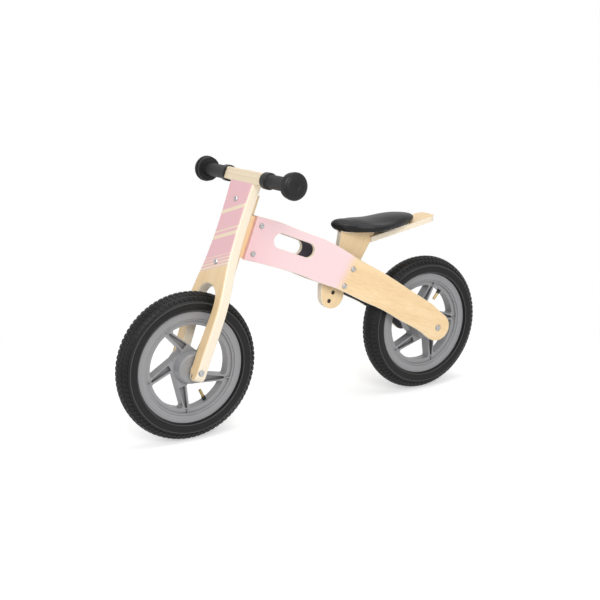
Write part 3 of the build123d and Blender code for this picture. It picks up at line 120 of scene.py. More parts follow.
class BikeColours(bpy.types.PropertyGroup):
    frame_pink: colour_property("Frame pink", "Paint on the side boards", "#F3D5DC")
    head_pink: colour_property("Head pink", "Paint on the side boards near the head", "#F0C4CD")
    fork_pink: colour_property("Fork pink", "Paint on the fork's front", "#EDBDC3")
    stripe_cream: colour_property("Stripe cream", "Bare wood left in the fork's stripes", "#F3DFC4")
    veneer: colour_property("Veneer", "Lacquered birch face veneer", "#F6DBB0")
    veneer_dark: colour_property("Veneer grain", "Darker lines of the birch veneer", "#E3BE88")
    ply_edge: colour_property("Ply edge", "Long-grain plies at a sawn edge", "#F8EDDA")
    ply_end: colour_property("Ply end grain", "End-grain plies at a sawn edge", "#E6D0AE")
    # Painted shade on the walls of the seat post's holes.
    painted_hole_shade: colour_property("Hole shade", "Walls of the drilled holes", "#3A2A1E")
    inner_face: colour_property("Inner face", "Darkened inner faces of the side boards", "#57525A")
    bar: colour_property("Bar", "Handlebar of pale solid wood", "#EADBC1")
    rim: colour_property("Rim", "Moulded plastic of the wheels", "#939395")
    tyre: colour_property("Tyre", "Rubber of the tyres", "#1A1A1A")
    grip: colour_property("Grip", "Rubber of the grips", "#1D1D1D")
    vinyl: colour_property("Vinyl", "Saddle cover", "#0C0C0D")
    zinc: colour_property("Zinc", "Plated bolts and screws", "#B6B7B8")
    brass: colour_property("Brass", "Valve tips", "#A3905F")


def sizes():
    return bpy.context.scene.bike_sizes


def colours():
    return bpy.context.scene.bike_colours


# ---- small tools
def add_node(tree, kind, inputs=None, **settings):
    """Adds a node, with its settings, its values and the links into it."""
    node = tree.nodes.new(kind)
    for key, value in settings.items():
        setattr(node, key, value)
    for key, value in (inputs or {}).items():
        if isinstance(value, bpy.types.NodeSocket):
            tree.links.new(value, node.inputs[key])
        else:
            node.inputs[key].default_value = value
    return node


def new_material(name):
    """A new material, its tree, and the socket that gives each point's place on the bike."""
    material = bpy.data.materials.new(name)
    material.use_nodes = True
    tree = material.node_tree
    tree.nodes.clear()
    return material, tree, add_node(tree, "ShaderNodeTexCoord").outputs["Object"]


def scaled(tint, factor, lift=0.0):
    """A linear colour made darker or brighter by a factor, then lifted by an amount."""
    return tuple(min(1.0, part * factor + lift) for part in tint[:3]) + (1.0,)


def choose(*pieces):
    """Selects only these pieces in object mode, with the last one active."""
    if bpy.context.object and bpy.context.object.mode != "OBJECT":
        bpy.ops.object.mode_set(mode="OBJECT")
    bpy.ops.object.select_all(action="DESELECT")
    for piece in pieces:
        piece.select_set(True)
        bpy.context.view_layer.objects.active = piece


def start_edit(piece):
    """Goes into edit mode with the whole piece selected."""
    choose(piece)
    bpy.ops.object.mode_set(mode="EDIT")
    bpy.ops.mesh.select_mode(type="FACE")
    bpy.ops.mesh.select_all(action="SELECT")


def pick(piece, test, kind="FACE"):
    """In edit mode, selects only the faces or vertices that pass the test."""
    bpy.ops.mesh.select_mode(type=kind)
    mesh = bmesh.from_edit_mesh(piece.data)
    for element in list(mesh.verts) + list(mesh.edges) + list(mesh.faces):
        element.select = False
    chosen = [element for element in (mesh.faces if kind == "FACE" else mesh.verts) if test(element)]
    for element in chosen:
        element.select_set(True)
    mesh.select_flush_mode()
    bmesh.update_edit_mesh(piece.data)
    if not chosen:
        raise RuntimeError("nothing to select on " + piece.name)


def end_edit(smooth_angle):
    """Leaves edit mode with clean outward faces, rounded where they meet at less than the angle."""
    bpy.ops.mesh.select_all(action="SELECT")
    bpy.ops.mesh.remove_doubles(threshold=0.01 * MM)
    bpy.ops.mesh.normals_make_consistent(inside=False)
    bpy.ops.object.mode_set(mode="OBJECT")
    bpy.ops.object.transform_apply(location=True, rotation=True, scale=True)
    bpy.ops.object.shade_smooth_by_angle(angle=math.radians(smooth_angle))


def even_out(piece, times):
    """Evens out a piece's surface by moving each point halfway to its neighbours' middle."""
    start_edit(piece)
    bpy.ops.mesh.vertices_smooth(factor=0.5, repeat=times)
    bpy.ops.object.mode_set(mode="OBJECT")


def finish_with(piece, kind, **settings):
    """Adds a modifier and applies it."""
    choose(piece)
    modifier = piece.modifiers.new(kind.title(), kind)
    for key, value in settings.items():
        setattr(modifier, key, value)
    bpy.ops.object.modifier_apply(modifier=modifier.name)


def coat(piece, material):
    piece.data.materials.clear()
    piece.data.materials.append(material)


def coat_nodes(names, material):
    for name in names:
        coat(NODES[name], material)


def copy_of(node, name):
    """A merged copy of a CAD node's mesh, as a new object."""
    piece = bpy.data.objects.new(name, NODES[node].data.copy())
    bpy.context.scene.collection.objects.link(piece)
    piece.data.materials.clear()
    start_edit(piece)
    bpy.ops.mesh.remove_doubles(threshold=0.005 * MM)
    bpy.ops.object.mode_set(mode="OBJECT")
    return piece


# ---- timber finishes
# How far each piece's grain is turned up from straight ahead.
BOARD_GRAIN = math.radians(25)
FORK_GRAIN = math.radians(112)
POST_GRAIN = math.radians(121)
# The seat post's own lean, measured in the same way.
POST_LEAN = math.radians(121.2)


def wood_colour(tree, place, light, dark, grain_width, angle, streak):
    """Colour and height of wood whose grain runs along X, turned up by angle.

    Grain_width is in millimetres, and streak is how far the darkest lines go towards dark.
    """
    turned = add_node(tree, "ShaderNodeMapping", {"Vector": place, "Rotation": (0.0, angle, 0.0)})
    # Grain lines grain_width millimetres apart and some forty times as long.
    across = 1.0 / (grain_width * MM)
    stretched = add_node(tree, "ShaderNodeMapping", {
        "Vector": turned.outputs["Vector"], "Scale": (across / 40, across, across)})
    lines = add_node(tree, "ShaderNodeTexNoise", {
        "Vector": stretched.outputs["Vector"], "Scale": 1.0, "Detail": 4.0, "Roughness": 0.6,
        "Distortion": 0.3})
    # Broad soft bands, about twelve times as wide as the lines.
    broad = add_node(tree, "ShaderNodeMapping", {
        "Vector": turned.outputs["Vector"], "Scale": (across / 160, across / 12, across / 12)})
    bands = add_node(tree, "ShaderNodeTexNoise", {
        "Vector": broad.outputs["Vector"], "Scale": 1.0, "Detail": 2.0, "Roughness": 0.5,
        "Distortion": 0.6})
    both = add_node(tree, "ShaderNodeMix", {
        0: 0.45, 2: lines.outputs["Fac"], 3: bands.outputs["Fac"]}, data_type="FLOAT")
    share = add_node(tree, "ShaderNodeMapRange", {
        "Value": both.outputs[0], "From Min": 0.35, "From Max": 0.68, "To Max": streak})
    colour = add_node(tree, "ShaderNodeMix", {
        0: share.outputs["Result"], 6: light, 7: dark}, data_type="RGBA")
    return colour.outputs[2], both.outputs[0]


def plies(tree, depth, along):
    """Colour of a sawn plywood edge: depth is measured through the plies, in metres."""
    step = sizes().ply_thickness
    swing = add_node(tree, "ShaderNodeMath", {0: depth, 1: step}, operation="PINGPONG")
    share = add_node(tree, "ShaderNodeMapRange", {
        "Value": swing.outputs[0], "From Min": step * 0.44, "From Max": step * 0.56})
    # End-grain plies show pores, drawn 0.9 millimetres across so that they show.
    pores = add_node(tree, "ShaderNodeTexNoise", {
        "Vector": along, "Scale": 1.0 / (0.9 * MM), "Detail": 3.0, "Roughness": 0.6})
    speck = add_node(tree, "ShaderNodeMapRange", {
        "Value": pores.outputs["Fac"], "From Min": 0.35, "From Max": 0.75, "To Min": 0.35, "To Max": 0.9})
    amount = add_node(tree, "ShaderNodeMath", {
        0: share.outputs["Result"], 1: speck.outputs["Result"]}, operation="MULTIPLY")
    colour = add_node(tree, "ShaderNodeMix", {
        0: amount.outputs[0], 6: colours().ply_edge, 7: colours().ply_end}, data_type="RGBA")
    return colour.outputs[2]


def lacquer(tree, colour, height):
    """Satin lacquer or paint over timber, with the grain just felt through it."""
    raised = add_node(tree, "ShaderNodeBump", {
        "Height": height, "Strength": 0.04, "Distance": 0.3 * MM})
    wear = add_node(tree, "ShaderNodeMapRange", {
        "Value": height, "From Min": 0.3, "From Max": 0.7, "To Min": 0.37, "To Max": 0.49})
    shader = add_node(tree, "ShaderNodeBsdfPrincipled", {
        "Base Color": colour, "Roughness": wear.outputs["Result"], "Normal": raised.outputs["Normal"],
        "IOR": 1.48, "Coat Weight": 0.15, "Coat Roughness": 0.25})
    add_node(tree, "ShaderNodeOutputMaterial", {"Surface": shader.outputs["BSDF"]})


def facing(tree, direction, start=0.72, end=0.88):
    """1 on faces that look along this direction, fading to 0 round an edge."""
    coords = add_node(tree, "ShaderNodeTexCoord")
    dot = add_node(tree, "ShaderNodeVectorMath", {0: coords.outputs["Normal"], 1: tuple(direction)},
                   operation="DOT_PRODUCT")
    return add_node(tree, "ShaderNodeMapRange", {
        "Value": dot.outputs["Value"], "From Min": start, "From Max": end}).outputs["Result"]


def distance_along(tree, place, origin, direction):
    """Distance in metres from the origin along a direction."""
    moved = add_node(tree, "ShaderNodeVectorMath", {0: place, 1: tuple(origin)}, operation="SUBTRACT")
    dot = add_node(tree, "ShaderNodeVectorMath", {0: moved.outputs["Vector"], 1: tuple(direction)},
                   operation="DOT_PRODUCT")
    return dot.outputs["Value"]


def painted_board(side):
    """Birch plywood side board: thin pink paint that fades out by the seat, dark inside."""
    # Silk-finish paint on smooth veneer: even colour, a low soft gloss, grain hardly seen.
    material, tree, place = new_material("painted_birch_board_" + ("left" if side > 0 else "right"))
    tint = colours()
    split = add_node(tree, "ShaderNodeSeparateXYZ", {"Vector": place})
    bare, height = wood_colour(tree, place, tint.veneer, tint.veneer_dark, 2.6, BOARD_GRAIN, 0.85)
    # The paint grows paler from the head towards the seat.
    fade = add_node(tree, "ShaderNodeMapRange", {
        "Value": split.outputs["X"], "From Min": 0.17, "From Max": 0.06})
    pink = add_node(tree, "ShaderNodeMix", {
        0: fade.outputs["Result"], 6: tint.head_pink, 7: tint.frame_pink}, data_type="RGBA").outputs[2]
    # The paint is thin enough for the grain to show through it.
    pink = add_node(tree, "ShaderNodeMix", {0: 0.1, 6: pink, 7: bare}, data_type="RGBA").outputs[2]
    # It fades out within 30 mm just ahead of the two seat bolts, square to the post.
    ahead = (math.sin(POST_LEAN), 0.0, -math.cos(POST_LEAN))
    lead = distance_along(tree, place, middle("seat_bolts"), ahead)
    paint = add_node(tree, "ShaderNodeMapRange", {
        "Value": lead, "From Min": -4 * MM, "From Max": 26 * MM}, interpolation_type="SMOOTHSTEP")
    outer = add_node(tree, "ShaderNodeMix", {
        0: paint.outputs["Result"], 6: bare, 7: pink}, data_type="RGBA").outputs[2]
    # The board bends little, so its plies are drawn flat, by their distance from the bike's middle.
    out = add_node(tree, "ShaderNodeMath", {0: split.outputs["Y"]}, operation="ABSOLUTE")
    edge = plies(tree, out.outputs[0], place)
    # Some paint runs over the sawn edge at the head.
    at_head = add_node(tree, "ShaderNodeMath", {
        0: distance_along(tree, place, middle("steering_pin"), AHEAD_FORK), 1: -15 * MM},
        operation="GREATER_THAN")
    run_over = add_node(tree, "ShaderNodeMath", {
        0: at_head.outputs[0], 1: facing(tree, AHEAD_FORK, 0.6, 0.8)}, operation="MULTIPLY")
    edge = add_node(tree, "ShaderNodeMix", {
        0: run_over.outputs[0], 6: edge, 7: tint.head_pink}, data_type="RGBA").outputs[2]
    faced = add_node(tree, "ShaderNodeMix", {
        0: facing(tree, (0.0, side, 0.0)), 6: edge, 7: outer}, data_type="RGBA").outputs[2]
    colour = add_node(tree, "ShaderNodeMix", {
        0: facing(tree, (0.0, -side, 0.0)), 6: faced, 7: tint.inner_face}, data_type="RGBA").outputs[2]
    lacquer(tree, colour, height)
    return material


# The fork's bare stripes: height of the middle above the axle along the fork, and width, in millimetres.
STRIPES = ((204.0, 4.4), (211.0, 3.2), (218.2, 2.2), (225.0, 1.4), (268.0, 8.0), (280.0, 3.0), (322.0, 8.0))
STRIPE_SLANT = math.radians(18)


def painted_fork():
    """Birch plywood fork board: pink front with bare-wood stripes, and bare elsewhere."""
    # The stripes are masked bare wood, so they share the paint's low gloss.
    material, tree, place = new_material("painted_birch_fork")
    tint = colours()
    split = add_node(tree, "ShaderNodeSeparateXYZ", {"Vector": place})
    bare, height = wood_colour(tree, place, tint.veneer, tint.veneer_dark, 2.6, FORK_GRAIN, 0.75)
    along = distance_along(tree, place, FRONT_AXLE, UP_FORK)
    # The stripes rise towards the rider's left.
    level = add_node(tree, "ShaderNodeMath", {
        0: split.outputs["Y"], 1: -math.tan(STRIPE_SLANT), 2: along}, operation="MULTIPLY_ADD").outputs[0]
    # Paint covers everything above 200 mm; then the stripes are taken out of it.
    paint = add_node(tree, "ShaderNodeMapRange", {
        "Value": level, "From Min": 200.0 * MM, "From Max": 200.6 * MM}).outputs["Result"]
    for centre, width in STRIPES:
        gap = add_node(tree, "ShaderNodeMath", {0: level, 1: centre * MM}, operation="SUBTRACT")
        away = add_node(tree, "ShaderNodeMath", {0: gap.outputs[0]}, operation="ABSOLUTE")
        band = add_node(tree, "ShaderNodeMapRange", {
            "Value": away.outputs[0], "From Min": (width / 2 - 0.2) * MM,
            "From Max": (width / 2 + 0.2) * MM})
        paint = add_node(tree, "ShaderNodeMath", {0: paint, 1: band.outputs["Result"]},
                         operation="MULTIPLY").outputs[0]
    # A bare stripe is creamier than the veneer below the paint.
    above = add_node(tree, "ShaderNodeMapRange", {
        "Value": level, "From Min": 199.0 * MM, "From Max": 200.0 * MM}).outputs["Result"]
    masked = add_node(tree, "ShaderNodeMix", {
        0: above, 6: bare, 7: tint.stripe_cream}, data_type="RGBA").outputs[2]
    front = add_node(tree, "ShaderNodeMix", {
        0: paint, 6: masked, 7: tint.fork_pink}, data_type="RGBA").outputs[2]
    through = distance_along(tree, place, FRONT_AXLE - AHEAD_FORK * 0.1, AHEAD_FORK)
    edge = plies(tree, through, place)
    faced = add_node(tree, "ShaderNodeMix", {
        0: facing(tree, AHEAD_FORK), 6: edge, 7: front}, data_type="RGBA").outputs[2]
    colour = add_node(tree, "ShaderNodeMix", {
        0: facing(tree, -AHEAD_FORK), 6: faced, 7: bare}, data_type="RGBA").outputs[2]
    lacquer(tree, colour, height)
    return material


# Number of holes in the seat post's row.
POST_HOLES = 6


def drilled(tree, place, colour):
    """The same colour with painted shade on the walls of the seat post's row of holes."""
    lowest, radius = hole("post_hole_lowest")
    rise = hole("post_hole_second")[0] - lowest
    along = distance_along(tree, place, lowest, rise.normalized())
    across = distance_along(tree, place, lowest, rise.normalized().cross(Vector((0.0, 1.0, 0.0))))
    nearest = add_node(tree, "ShaderNodeMath", {
        0: along, 1: rise.length / 2, 2: -rise.length / 2}, operation="WRAP")
    offset = add_node(tree, "ShaderNodeCombineXYZ", {"X": nearest.outputs[0], "Y": across})
    reach = add_node(tree, "ShaderNodeVectorMath", {0: offset.outputs["Vector"]}, operation="LENGTH")
    wall = add_node(tree, "ShaderNodeMapRange", {
        "Value": reach.outputs["Value"], "From Min": radius + 0.5 * MM, "From Max": radius + 0.1 * MM})
    # The row ends half a pitch above its last hole.
    in_row = add_node(tree, "ShaderNodeMath", {
        0: along, 1: (POST_HOLES - 0.5) * rise.length}, operation="LESS_THAN")
    amount = add_node(tree, "ShaderNodeMath", {
        0: wall.outputs["Result"], 1: in_row.outputs[0]}, operation="MULTIPLY")
    return add_node(tree, "ShaderNodeMix", {
        0: amount.outputs[0], 6: colour, 7: colours().painted_hole_shade}, data_type="RGBA").outputs[2]


def birch_ply(name, face, grain_angle, holes=False):
    """Clear-lacquered birch plywood: face is the direction that its face veneers look along.

    With holes, it has the dark holes of the seat post's row.
    """
    # Clear satin lacquer: pale honey faces, and sawn edges that show the plies.
    material, tree, place = new_material(name)
    tint = colours()
    veneer, height = wood_colour(tree, place, tint.veneer, tint.veneer_dark, 2.6, grain_angle, 0.75)
    depth = distance_along(tree, place, (0.0, -1.0, 0.0), face)
    edge = plies(tree, depth, place)
    faced = add_node(tree, "ShaderNodeMix", {
        0: facing(tree, face), 6: edge, 7: veneer}, data_type="RGBA").outputs[2]
    colour = add_node(tree, "ShaderNodeMix", {
        0: facing(tree, -Vector(face)), 6: faced, 7: veneer}, data_type="RGBA").outputs[2]
    if holes:
        colour = drilled(tree, place, colour)
    lacquer(tree, colour, height)
    return material


def lacquered_beech():
    """Pale solid beech, sanded and lacquered."""
    # Straight grain along the bar, seen as faint lines.
    material, tree, place = new_material("lacquered_beech")
    tint = colours()
    turned = add_node(tree, "ShaderNodeMapping", {"Vector": place, "Rotation": (0.0, 0.0, math.radians(90))})
    colour, height = wood_colour(tree, turned.outputs["Vector"], tint.bar, tint.veneer, 2.2, 0.0, 0.5)
    lacquer(tree, colour, height)
    return material


# ---- other finishes
def zinc_steel():
    """Zinc-plated mild steel, as turned bolts have."""
    # Bright silver, a little cloudy from the plating.
    material, tree, place = new_material("zinc_plated_steel")
    # Plating cloud about two millimetres across.
    cloud = add_node(tree, "ShaderNodeTexNoise", {
        "Vector": place, "Scale": 1.0 / (2.0 * MM), "Detail": 3.0})
    rough = add_node(tree, "ShaderNodeMapRange", {
        "Value": cloud.outputs["Fac"], "From Min": 0.3, "From Max": 0.7, "To Min": 0.24, "To Max": 0.36})
    # A bolt head's rim is rolled over, which rounds its light.
    rolled = add_node(tree, "ShaderNodeBevel", {"Radius": 1.4 * MM}, samples=6)
    raised = add_node(tree, "ShaderNodeBump", {
        "Height": cloud.outputs["Fac"], "Strength": 0.05, "Distance": 0.1 * MM,
        "Normal": rolled.outputs["Normal"]})
    shader = add_node(tree, "ShaderNodeBsdfPrincipled", {
        "Base Color": colours().zinc, "Metallic": 1.0, "Roughness": rough.outputs["Result"],
        "Normal": raised.outputs["Normal"]})
    add_node(tree, "ShaderNodeOutputMaterial", {"Surface": shader.outputs["BSDF"]})
    return material


def turned_brass():
    """Machined brass of the valve tips."""
    # Yellow metal with the tool's fine marks, drawn 0.8 millimetres apart so that they show.
    material, tree, place = new_material("machined_brass")
    marks = add_node(tree, "ShaderNodeTexNoise", {
        "Vector": place, "Scale": 1.0 / (0.8 * MM), "Detail": 1.0})
    raised = add_node(tree, "ShaderNodeBump", {
        "Height": marks.outputs["Fac"], "Strength": 0.3, "Distance": 0.2 * MM})
    rough = add_node(tree, "ShaderNodeMapRange", {
        "Value": marks.outputs["Fac"], "To Min": 0.22, "To Max": 0.4})
    shader = add_node(tree, "ShaderNodeBsdfPrincipled", {
        "Base Color": colours().brass, "Metallic": 1.0, "Roughness": rough.outputs["Result"],
        "Normal": raised.outputs["Normal"]})
    add_node(tree, "ShaderNodeOutputMaterial", {"Surface": shader.outputs["BSDF"]})
    return material


def moulded(name, tint, roughness, grit, bump, mottle, ior=1.5, bevel=0.0, hollow=0.0, rings=()):
    """A moulded plastic or rubber skin with a fine spark-eroded texture of this grit.

    Mottle is how far its soft patches differ. Bevel rounds the light on its edges, and painted shade
    darkens recesses up to about hollow wide.
    Rings are (axle, radius) pairs: thin raised lines round that axle, painted paler as a highlight.
    """
    material, tree, place = new_material(name)
    grain = add_node(tree, "ShaderNodeTexNoise", {
        "Vector": place, "Scale": 1.0 / grit, "Detail": 4.0, "Roughness": 0.65})
    # Handling leaves soft patches about thirty millimetres across.
    patch = add_node(tree, "ShaderNodeTexNoise", {
        "Vector": place, "Scale": 1.0 / (30 * MM), "Detail": 3.0})
    colour = add_node(tree, "ShaderNodeMix", {
        0: patch.outputs["Fac"], 6: scaled(tint, 1 - 2 * mottle), 7: scaled(tint, 1 + 2 * mottle)},
        data_type="RGBA").outputs[2]
    for axle, radius in rings:
        spoke = add_node(tree, "ShaderNodeVectorMath", {0: place, 1: tuple(axle)}, operation="SUBTRACT")
        flat = add_node(tree, "ShaderNodeVectorMath", {
            0: spoke.outputs["Vector"], 1: (1.0, 0.0, 1.0)}, operation="MULTIPLY")
        reach = add_node(tree, "ShaderNodeVectorMath", {0: flat.outputs["Vector"]}, operation="LENGTH")
        near = add_node(tree, "ShaderNodeMath", {
            0: reach.outputs["Value"], 1: radius, 2: 0.8 * MM}, operation="COMPARE")
        # Painted highlight: the ring is drawn paler, as if its raised edge caught the light.
        colour = add_node(tree, "ShaderNodeMix", {
            0: near.outputs[0], 6: colour, 7: scaled(tint, 4, 0.02)}, data_type="RGBA").outputs[2]
    if hollow:
        # Painted shade: the colour darkens in grooves and recesses, where ambient occlusion finds them.
        groove_shade = add_node(tree, "ShaderNodeAmbientOcclusion", {"Distance": hollow}, samples=8)
        open_air = add_node(tree, "ShaderNodeMapRange", {
            "Value": groove_shade.outputs["AO"], "From Min": 0.15, "From Max": 0.8})
        colour = add_node(tree, "ShaderNodeMix", {
            0: open_air.outputs["Result"], 6: scaled(tint, 0.4), 7: colour}, data_type="RGBA").outputs[2]
    rough = add_node(tree, "ShaderNodeMapRange", {
        "Value": grain.outputs["Fac"], "From Min": 0.3, "From Max": 0.7,
        "To Min": roughness - 0.05, "To Max": roughness + 0.05})
    raised = add_node(tree, "ShaderNodeBump", {
        "Height": grain.outputs["Fac"], "Strength": bump, "Distance": 0.2 * MM})
    if bevel:
        rounded = add_node(tree, "ShaderNodeBevel", {"Radius": bevel}, samples=4)
        tree.links.new(rounded.outputs["Normal"], raised.inputs["Normal"])
    shader = add_node(tree, "ShaderNodeBsdfPrincipled", {
        "Base Color": colour, "Roughness": rough.outputs["Result"], "Normal": raised.outputs["Normal"],
        "IOR": ior})
    add_node(tree, "ShaderNodeOutputMaterial", {"Surface": shader.outputs["BSDF"]})
    return material


def grained_vinyl():
    """Black PVC leathercloth with a fine embossed grain."""
    # A soft satin light on its crown; the cells are drawn 1.2 millimetres wide so that they show.
    material, tree, place = new_material("black_leathercloth")
    tint = colours().vinyl
    cells = add_node(tree, "ShaderNodeTexVoronoi", {
        "Vector": place, "Scale": 1.0 / (1.2 * MM), "Randomness": 0.9}, feature="DISTANCE_TO_EDGE")
    crease = add_node(tree, "ShaderNodeMapRange", {
        "Value": cells.outputs["Distance"], "From Max": 0.18})
    soft = add_node(tree, "ShaderNodeTexNoise", {
        "Vector": place, "Scale": 1.0 / (18 * MM), "Detail": 2.0})
    raised = add_node(tree, "ShaderNodeBump", {
        "Height": crease.outputs["Result"], "Strength": 0.07, "Distance": 0.15 * MM})
    colour = add_node(tree, "ShaderNodeMix", {
        0: soft.outputs["Fac"], 6: scaled(tint, 0.85), 7: scaled(tint, 1.15)}, data_type="RGBA").outputs[2]
    rough = add_node(tree, "ShaderNodeMapRange", {
        "Value": crease.outputs["Result"], "To Min": 0.48, "To Max": 0.36})
    shader = add_node(tree, "ShaderNodeBsdfPrincipled", {
        "Base Color": colour, "Roughness": rough.outputs["Result"], "Normal": raised.outputs["Normal"],
        "IOR": 1.36})
    add_node(tree, "ShaderNodeOutputMaterial", {"Surface": shader.outputs["BSDF"]})
    return material


# ---- pieces
# A tyre's faces stand in TYRE_SIDES columns round its section and TYRE_STEPS steps round the wheel.
TYRE_STEPS = 252
TYRE_SIDES = 40
TREAD_COLUMNS = range(-7, 7)
# The columns of the five rows of lugs, and the step by which each row is staggered.
LUG_SHIFT = {-7: 0, -6: 0, -4: 1, -3: 1, -1: 0, 0: 0, 2: 1, 3: 1, 5: 0, 6: 0}
# The columns of the two rings on each wall.
RING_COLUMNS = (8, 12)
# The beads begin this far inside the middle of the section, where it is this share of its full width.
BEAD_DEPTH = 12.6 * MM
BEAD_SHARE = 0.81


def around(point, axle):
    """Distance from the axle's line, place across it, and turn round it, of a point."""
    ahead, above = point.x - axle.x, point.z - axle.z
    return math.hypot(ahead, above), point.y, math.atan2(ahead, above)


def section_middle(node):
    """Distance from the axle to the middle of a tyre's section."""
    low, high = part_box(node)
    return (high[2] - low[2]) / 2 - sizes().tyre_section


def wall_rings(node):
    """Distances from the axle to the two rings on a tyre's wall."""
    tilts = [math.radians((column + 0.5) * 360 / TYRE_SIDES) for column in RING_COLUMNS]
    return [section_middle(node) + sizes().tyre_section * math.cos(tilt) for tilt in tilts]


def circle(name, **settings):
    """A circle to make a piece from, in edit mode with all of it selected."""
    choose()
    bpy.ops.mesh.primitive_circle_add(**settings)
    piece = bpy.context.object
    piece.name = name
    piece.data.name = name
    bpy.ops.object.transform_apply(location=True, rotation=True, scale=True)
    start_edit(piece)
    return piece


def make_tyre(name, node, axle):
    """A tyre with rows of lugs, spun from its section."""
    size = sizes()
    section = size.tyre_section
    mid = section_middle(node)
    tyre = circle(name, vertices=TYRE_SIDES, radius=section, location=(axle.x, 0.0, axle.z + mid),
                  rotation=(0.0, math.radians(90), 0.0))
    # The wall is pinched in where it passes between the rim's flanges.
    pick(tyre, lambda v: around(v.co, axle)[0] < mid - BEAD_DEPTH, "VERT")
    bpy.ops.transform.resize(value=(1.0, size.bead_width / (section * BEAD_SHARE), 1.0),
                             center_override=(axle.x, 0.0, axle.z + mid))
    bpy.ops.mesh.select_all(action="SELECT")
    bpy.ops.mesh.spin(steps=TYRE_STEPS, angle=2 * math.pi, center=(axle.x, 0.0, axle.z),
                      axis=(0.0, 1.0, 0.0))
    bpy.ops.mesh.select_all(action="SELECT")
    bpy.ops.mesh.remove_doubles(threshold=0.02 * MM)
    bpy.ops.mesh.normals_make_consistent(inside=False)

    def column(face):
        reach, across, turn = around(face.calc_center_median(), axle)
        tilt = math.degrees(math.atan2(across, reach - mid))
        step = int(math.floor((turn + math.pi) / (2 * math.pi) * TYRE_STEPS))
        return int(math.floor(tilt / (360 / TYRE_SIDES))), step

    pick(tyre, lambda f: column(f)[0] in TREAD_COLUMNS)
    bpy.ops.transform.shrink_fatten(value=-size.lug_height)

    def lug(face):
        place, step = column(face)
        return place in LUG_SHIFT and (step + LUG_SHIFT[place]) % 3 != 0

    # Lugs two columns wide and two steps long, with a gap of one step.
    pick(tyre, lug)
    bpy.ops.mesh.inset(thickness=size.lug_taper, depth=size.lug_height, use_boundary=True)
    # Two thin rings moulded round each wall.
    for ring in RING_COLUMNS:
        pick(tyre, lambda f: column(f)[0] in (ring, -ring - 1))
        bpy.ops.mesh.inset(thickness=0.9 * MM, depth=1.0 * MM)
    end_edit(32)
    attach(tyre, node.replace("_tyre", "_wheel"))
    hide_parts(node)
    return tyre


def turn_piece(name, start, direction, profile, segments):
    """A turned piece: profile lists (distance along the direction, radius), as a lathe cuts it."""
    along, radius = profile[0]
    piece = circle(
        name, vertices=segments, radius=radius, fill_type="NGON", location=start + direction * along,
        rotation=Vector((0, 0, 1)).rotation_difference(direction).to_euler())
    for next_along, next_radius in profile[1:]:
        step = direction * (next_along - along)
        bpy.ops.mesh.extrude_region_move(TRANSFORM_OT_translate={"value": step})
        factor = next_radius / radius
        bpy.ops.transform.resize(
            value=(factor, factor, factor), center_override=start + direction * next_along)
        along, radius = next_along, next_radius
    return piece


# A grip's profile from its inner end outwards, as (distance, radius) in millimetres. The collar's
# distances start at the inner end, the guard's at its own inner face, and the cap's at the outer end.
GRIP_COLLAR = ((0.0, 11.2), (0.0, 15.4), (1.2, 16.6), (14.4, 16.6), (15.8, 15.6), (16.6, 13.7), (18.0, 13.3))
GRIP_GUARD = ((-3.0, 13.3), (-0.8, 14.4), (-0.6, 23.6), (0.6, 25.0), (4.6, 25.0), (5.8, 24.0), (6.0, 22.6),
              (8.0, 22.6), (8.2, 25.4), (9.4, 26.5))
GRIP_CAP = ((-5.6, 26.5), (-3.0, 25.4), (-1.2, 22.4), (-1.4, 20.8), (-0.4, 19.6), (0.0, 16.0), (0.0, 5.6),
            (-0.6, 4.4), (-2.0, 3.6), (-2.2, 1.0))
GUARD_LENGTH = 19 * MM
GRIP_STRIPS = 72


def make_grip(name, node, side):
    """Rubber grip: collar, ribbed tube, and the guard's lip, groove and dished cap."""
    low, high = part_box(node)
    centre = middle(node)
    start = Vector((centre.x, low[1] if side > 0 else high[1], centre.z))
    direction = Vector((0.0, side, 0.0))
    end = high[1] - low[1]
    guard = end - GUARD_LENGTH
    profile = [
        (origin + along * MM, radius * MM)
        for origin, points in ((0.0, GRIP_COLLAR), (guard, GRIP_GUARD), (end, GRIP_CAP))
        for along, radius in points]
    grip = turn_piece(name, start, direction, profile, GRIP_STRIPS)
    # Every other strip of the tube is raised into a rib.
    tube = (GRIP_COLLAR[-1][0] * MM, guard + GRIP_GUARD[0][0] * MM)

    def rib(face):
        point = face.calc_center_median()
        turn = math.atan2(point.x - centre.x, point.z - centre.z)
        index = int(math.floor((turn + math.pi) / (2 * math.pi) * GRIP_STRIPS + 0.001))
        on_tube = tube[0] < (point.y - start.y) * side < tube[1]
        return on_tube and abs(face.normal.y) < 0.3 and index % 2 == 0

    pick(grip, rib)
    bpy.ops.mesh.inset(thickness=0.18 * MM, depth=sizes().grip_rib)
    end_edit(35)
    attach(grip, "fork")
    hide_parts(node)
    return grip


def base_room(name, grow):
    """A plain block round the seat's base board, larger than it by grow on every side."""
    low, high = (Vector(v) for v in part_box("seat_base"))
    block = copy_of("seat_base", name)
    start_edit(block)
    bpy.ops.mesh.convex_hull()
    bpy.ops.mesh.select_all(action="SELECT")
    bpy.ops.transform.resize(
        value=tuple(1 + 2 * grow / (top - bottom) for bottom, top in zip(low, high)),
        center_override=(low + high) / 2)
    bpy.ops.object.mode_set(mode="OBJECT")
    return block


# The block that fills the cover's pocket, and the room left in it, are larger than the base by these.
PLUG_GROW = 1.6 * MM
ROOM_GROW = 0.5 * MM


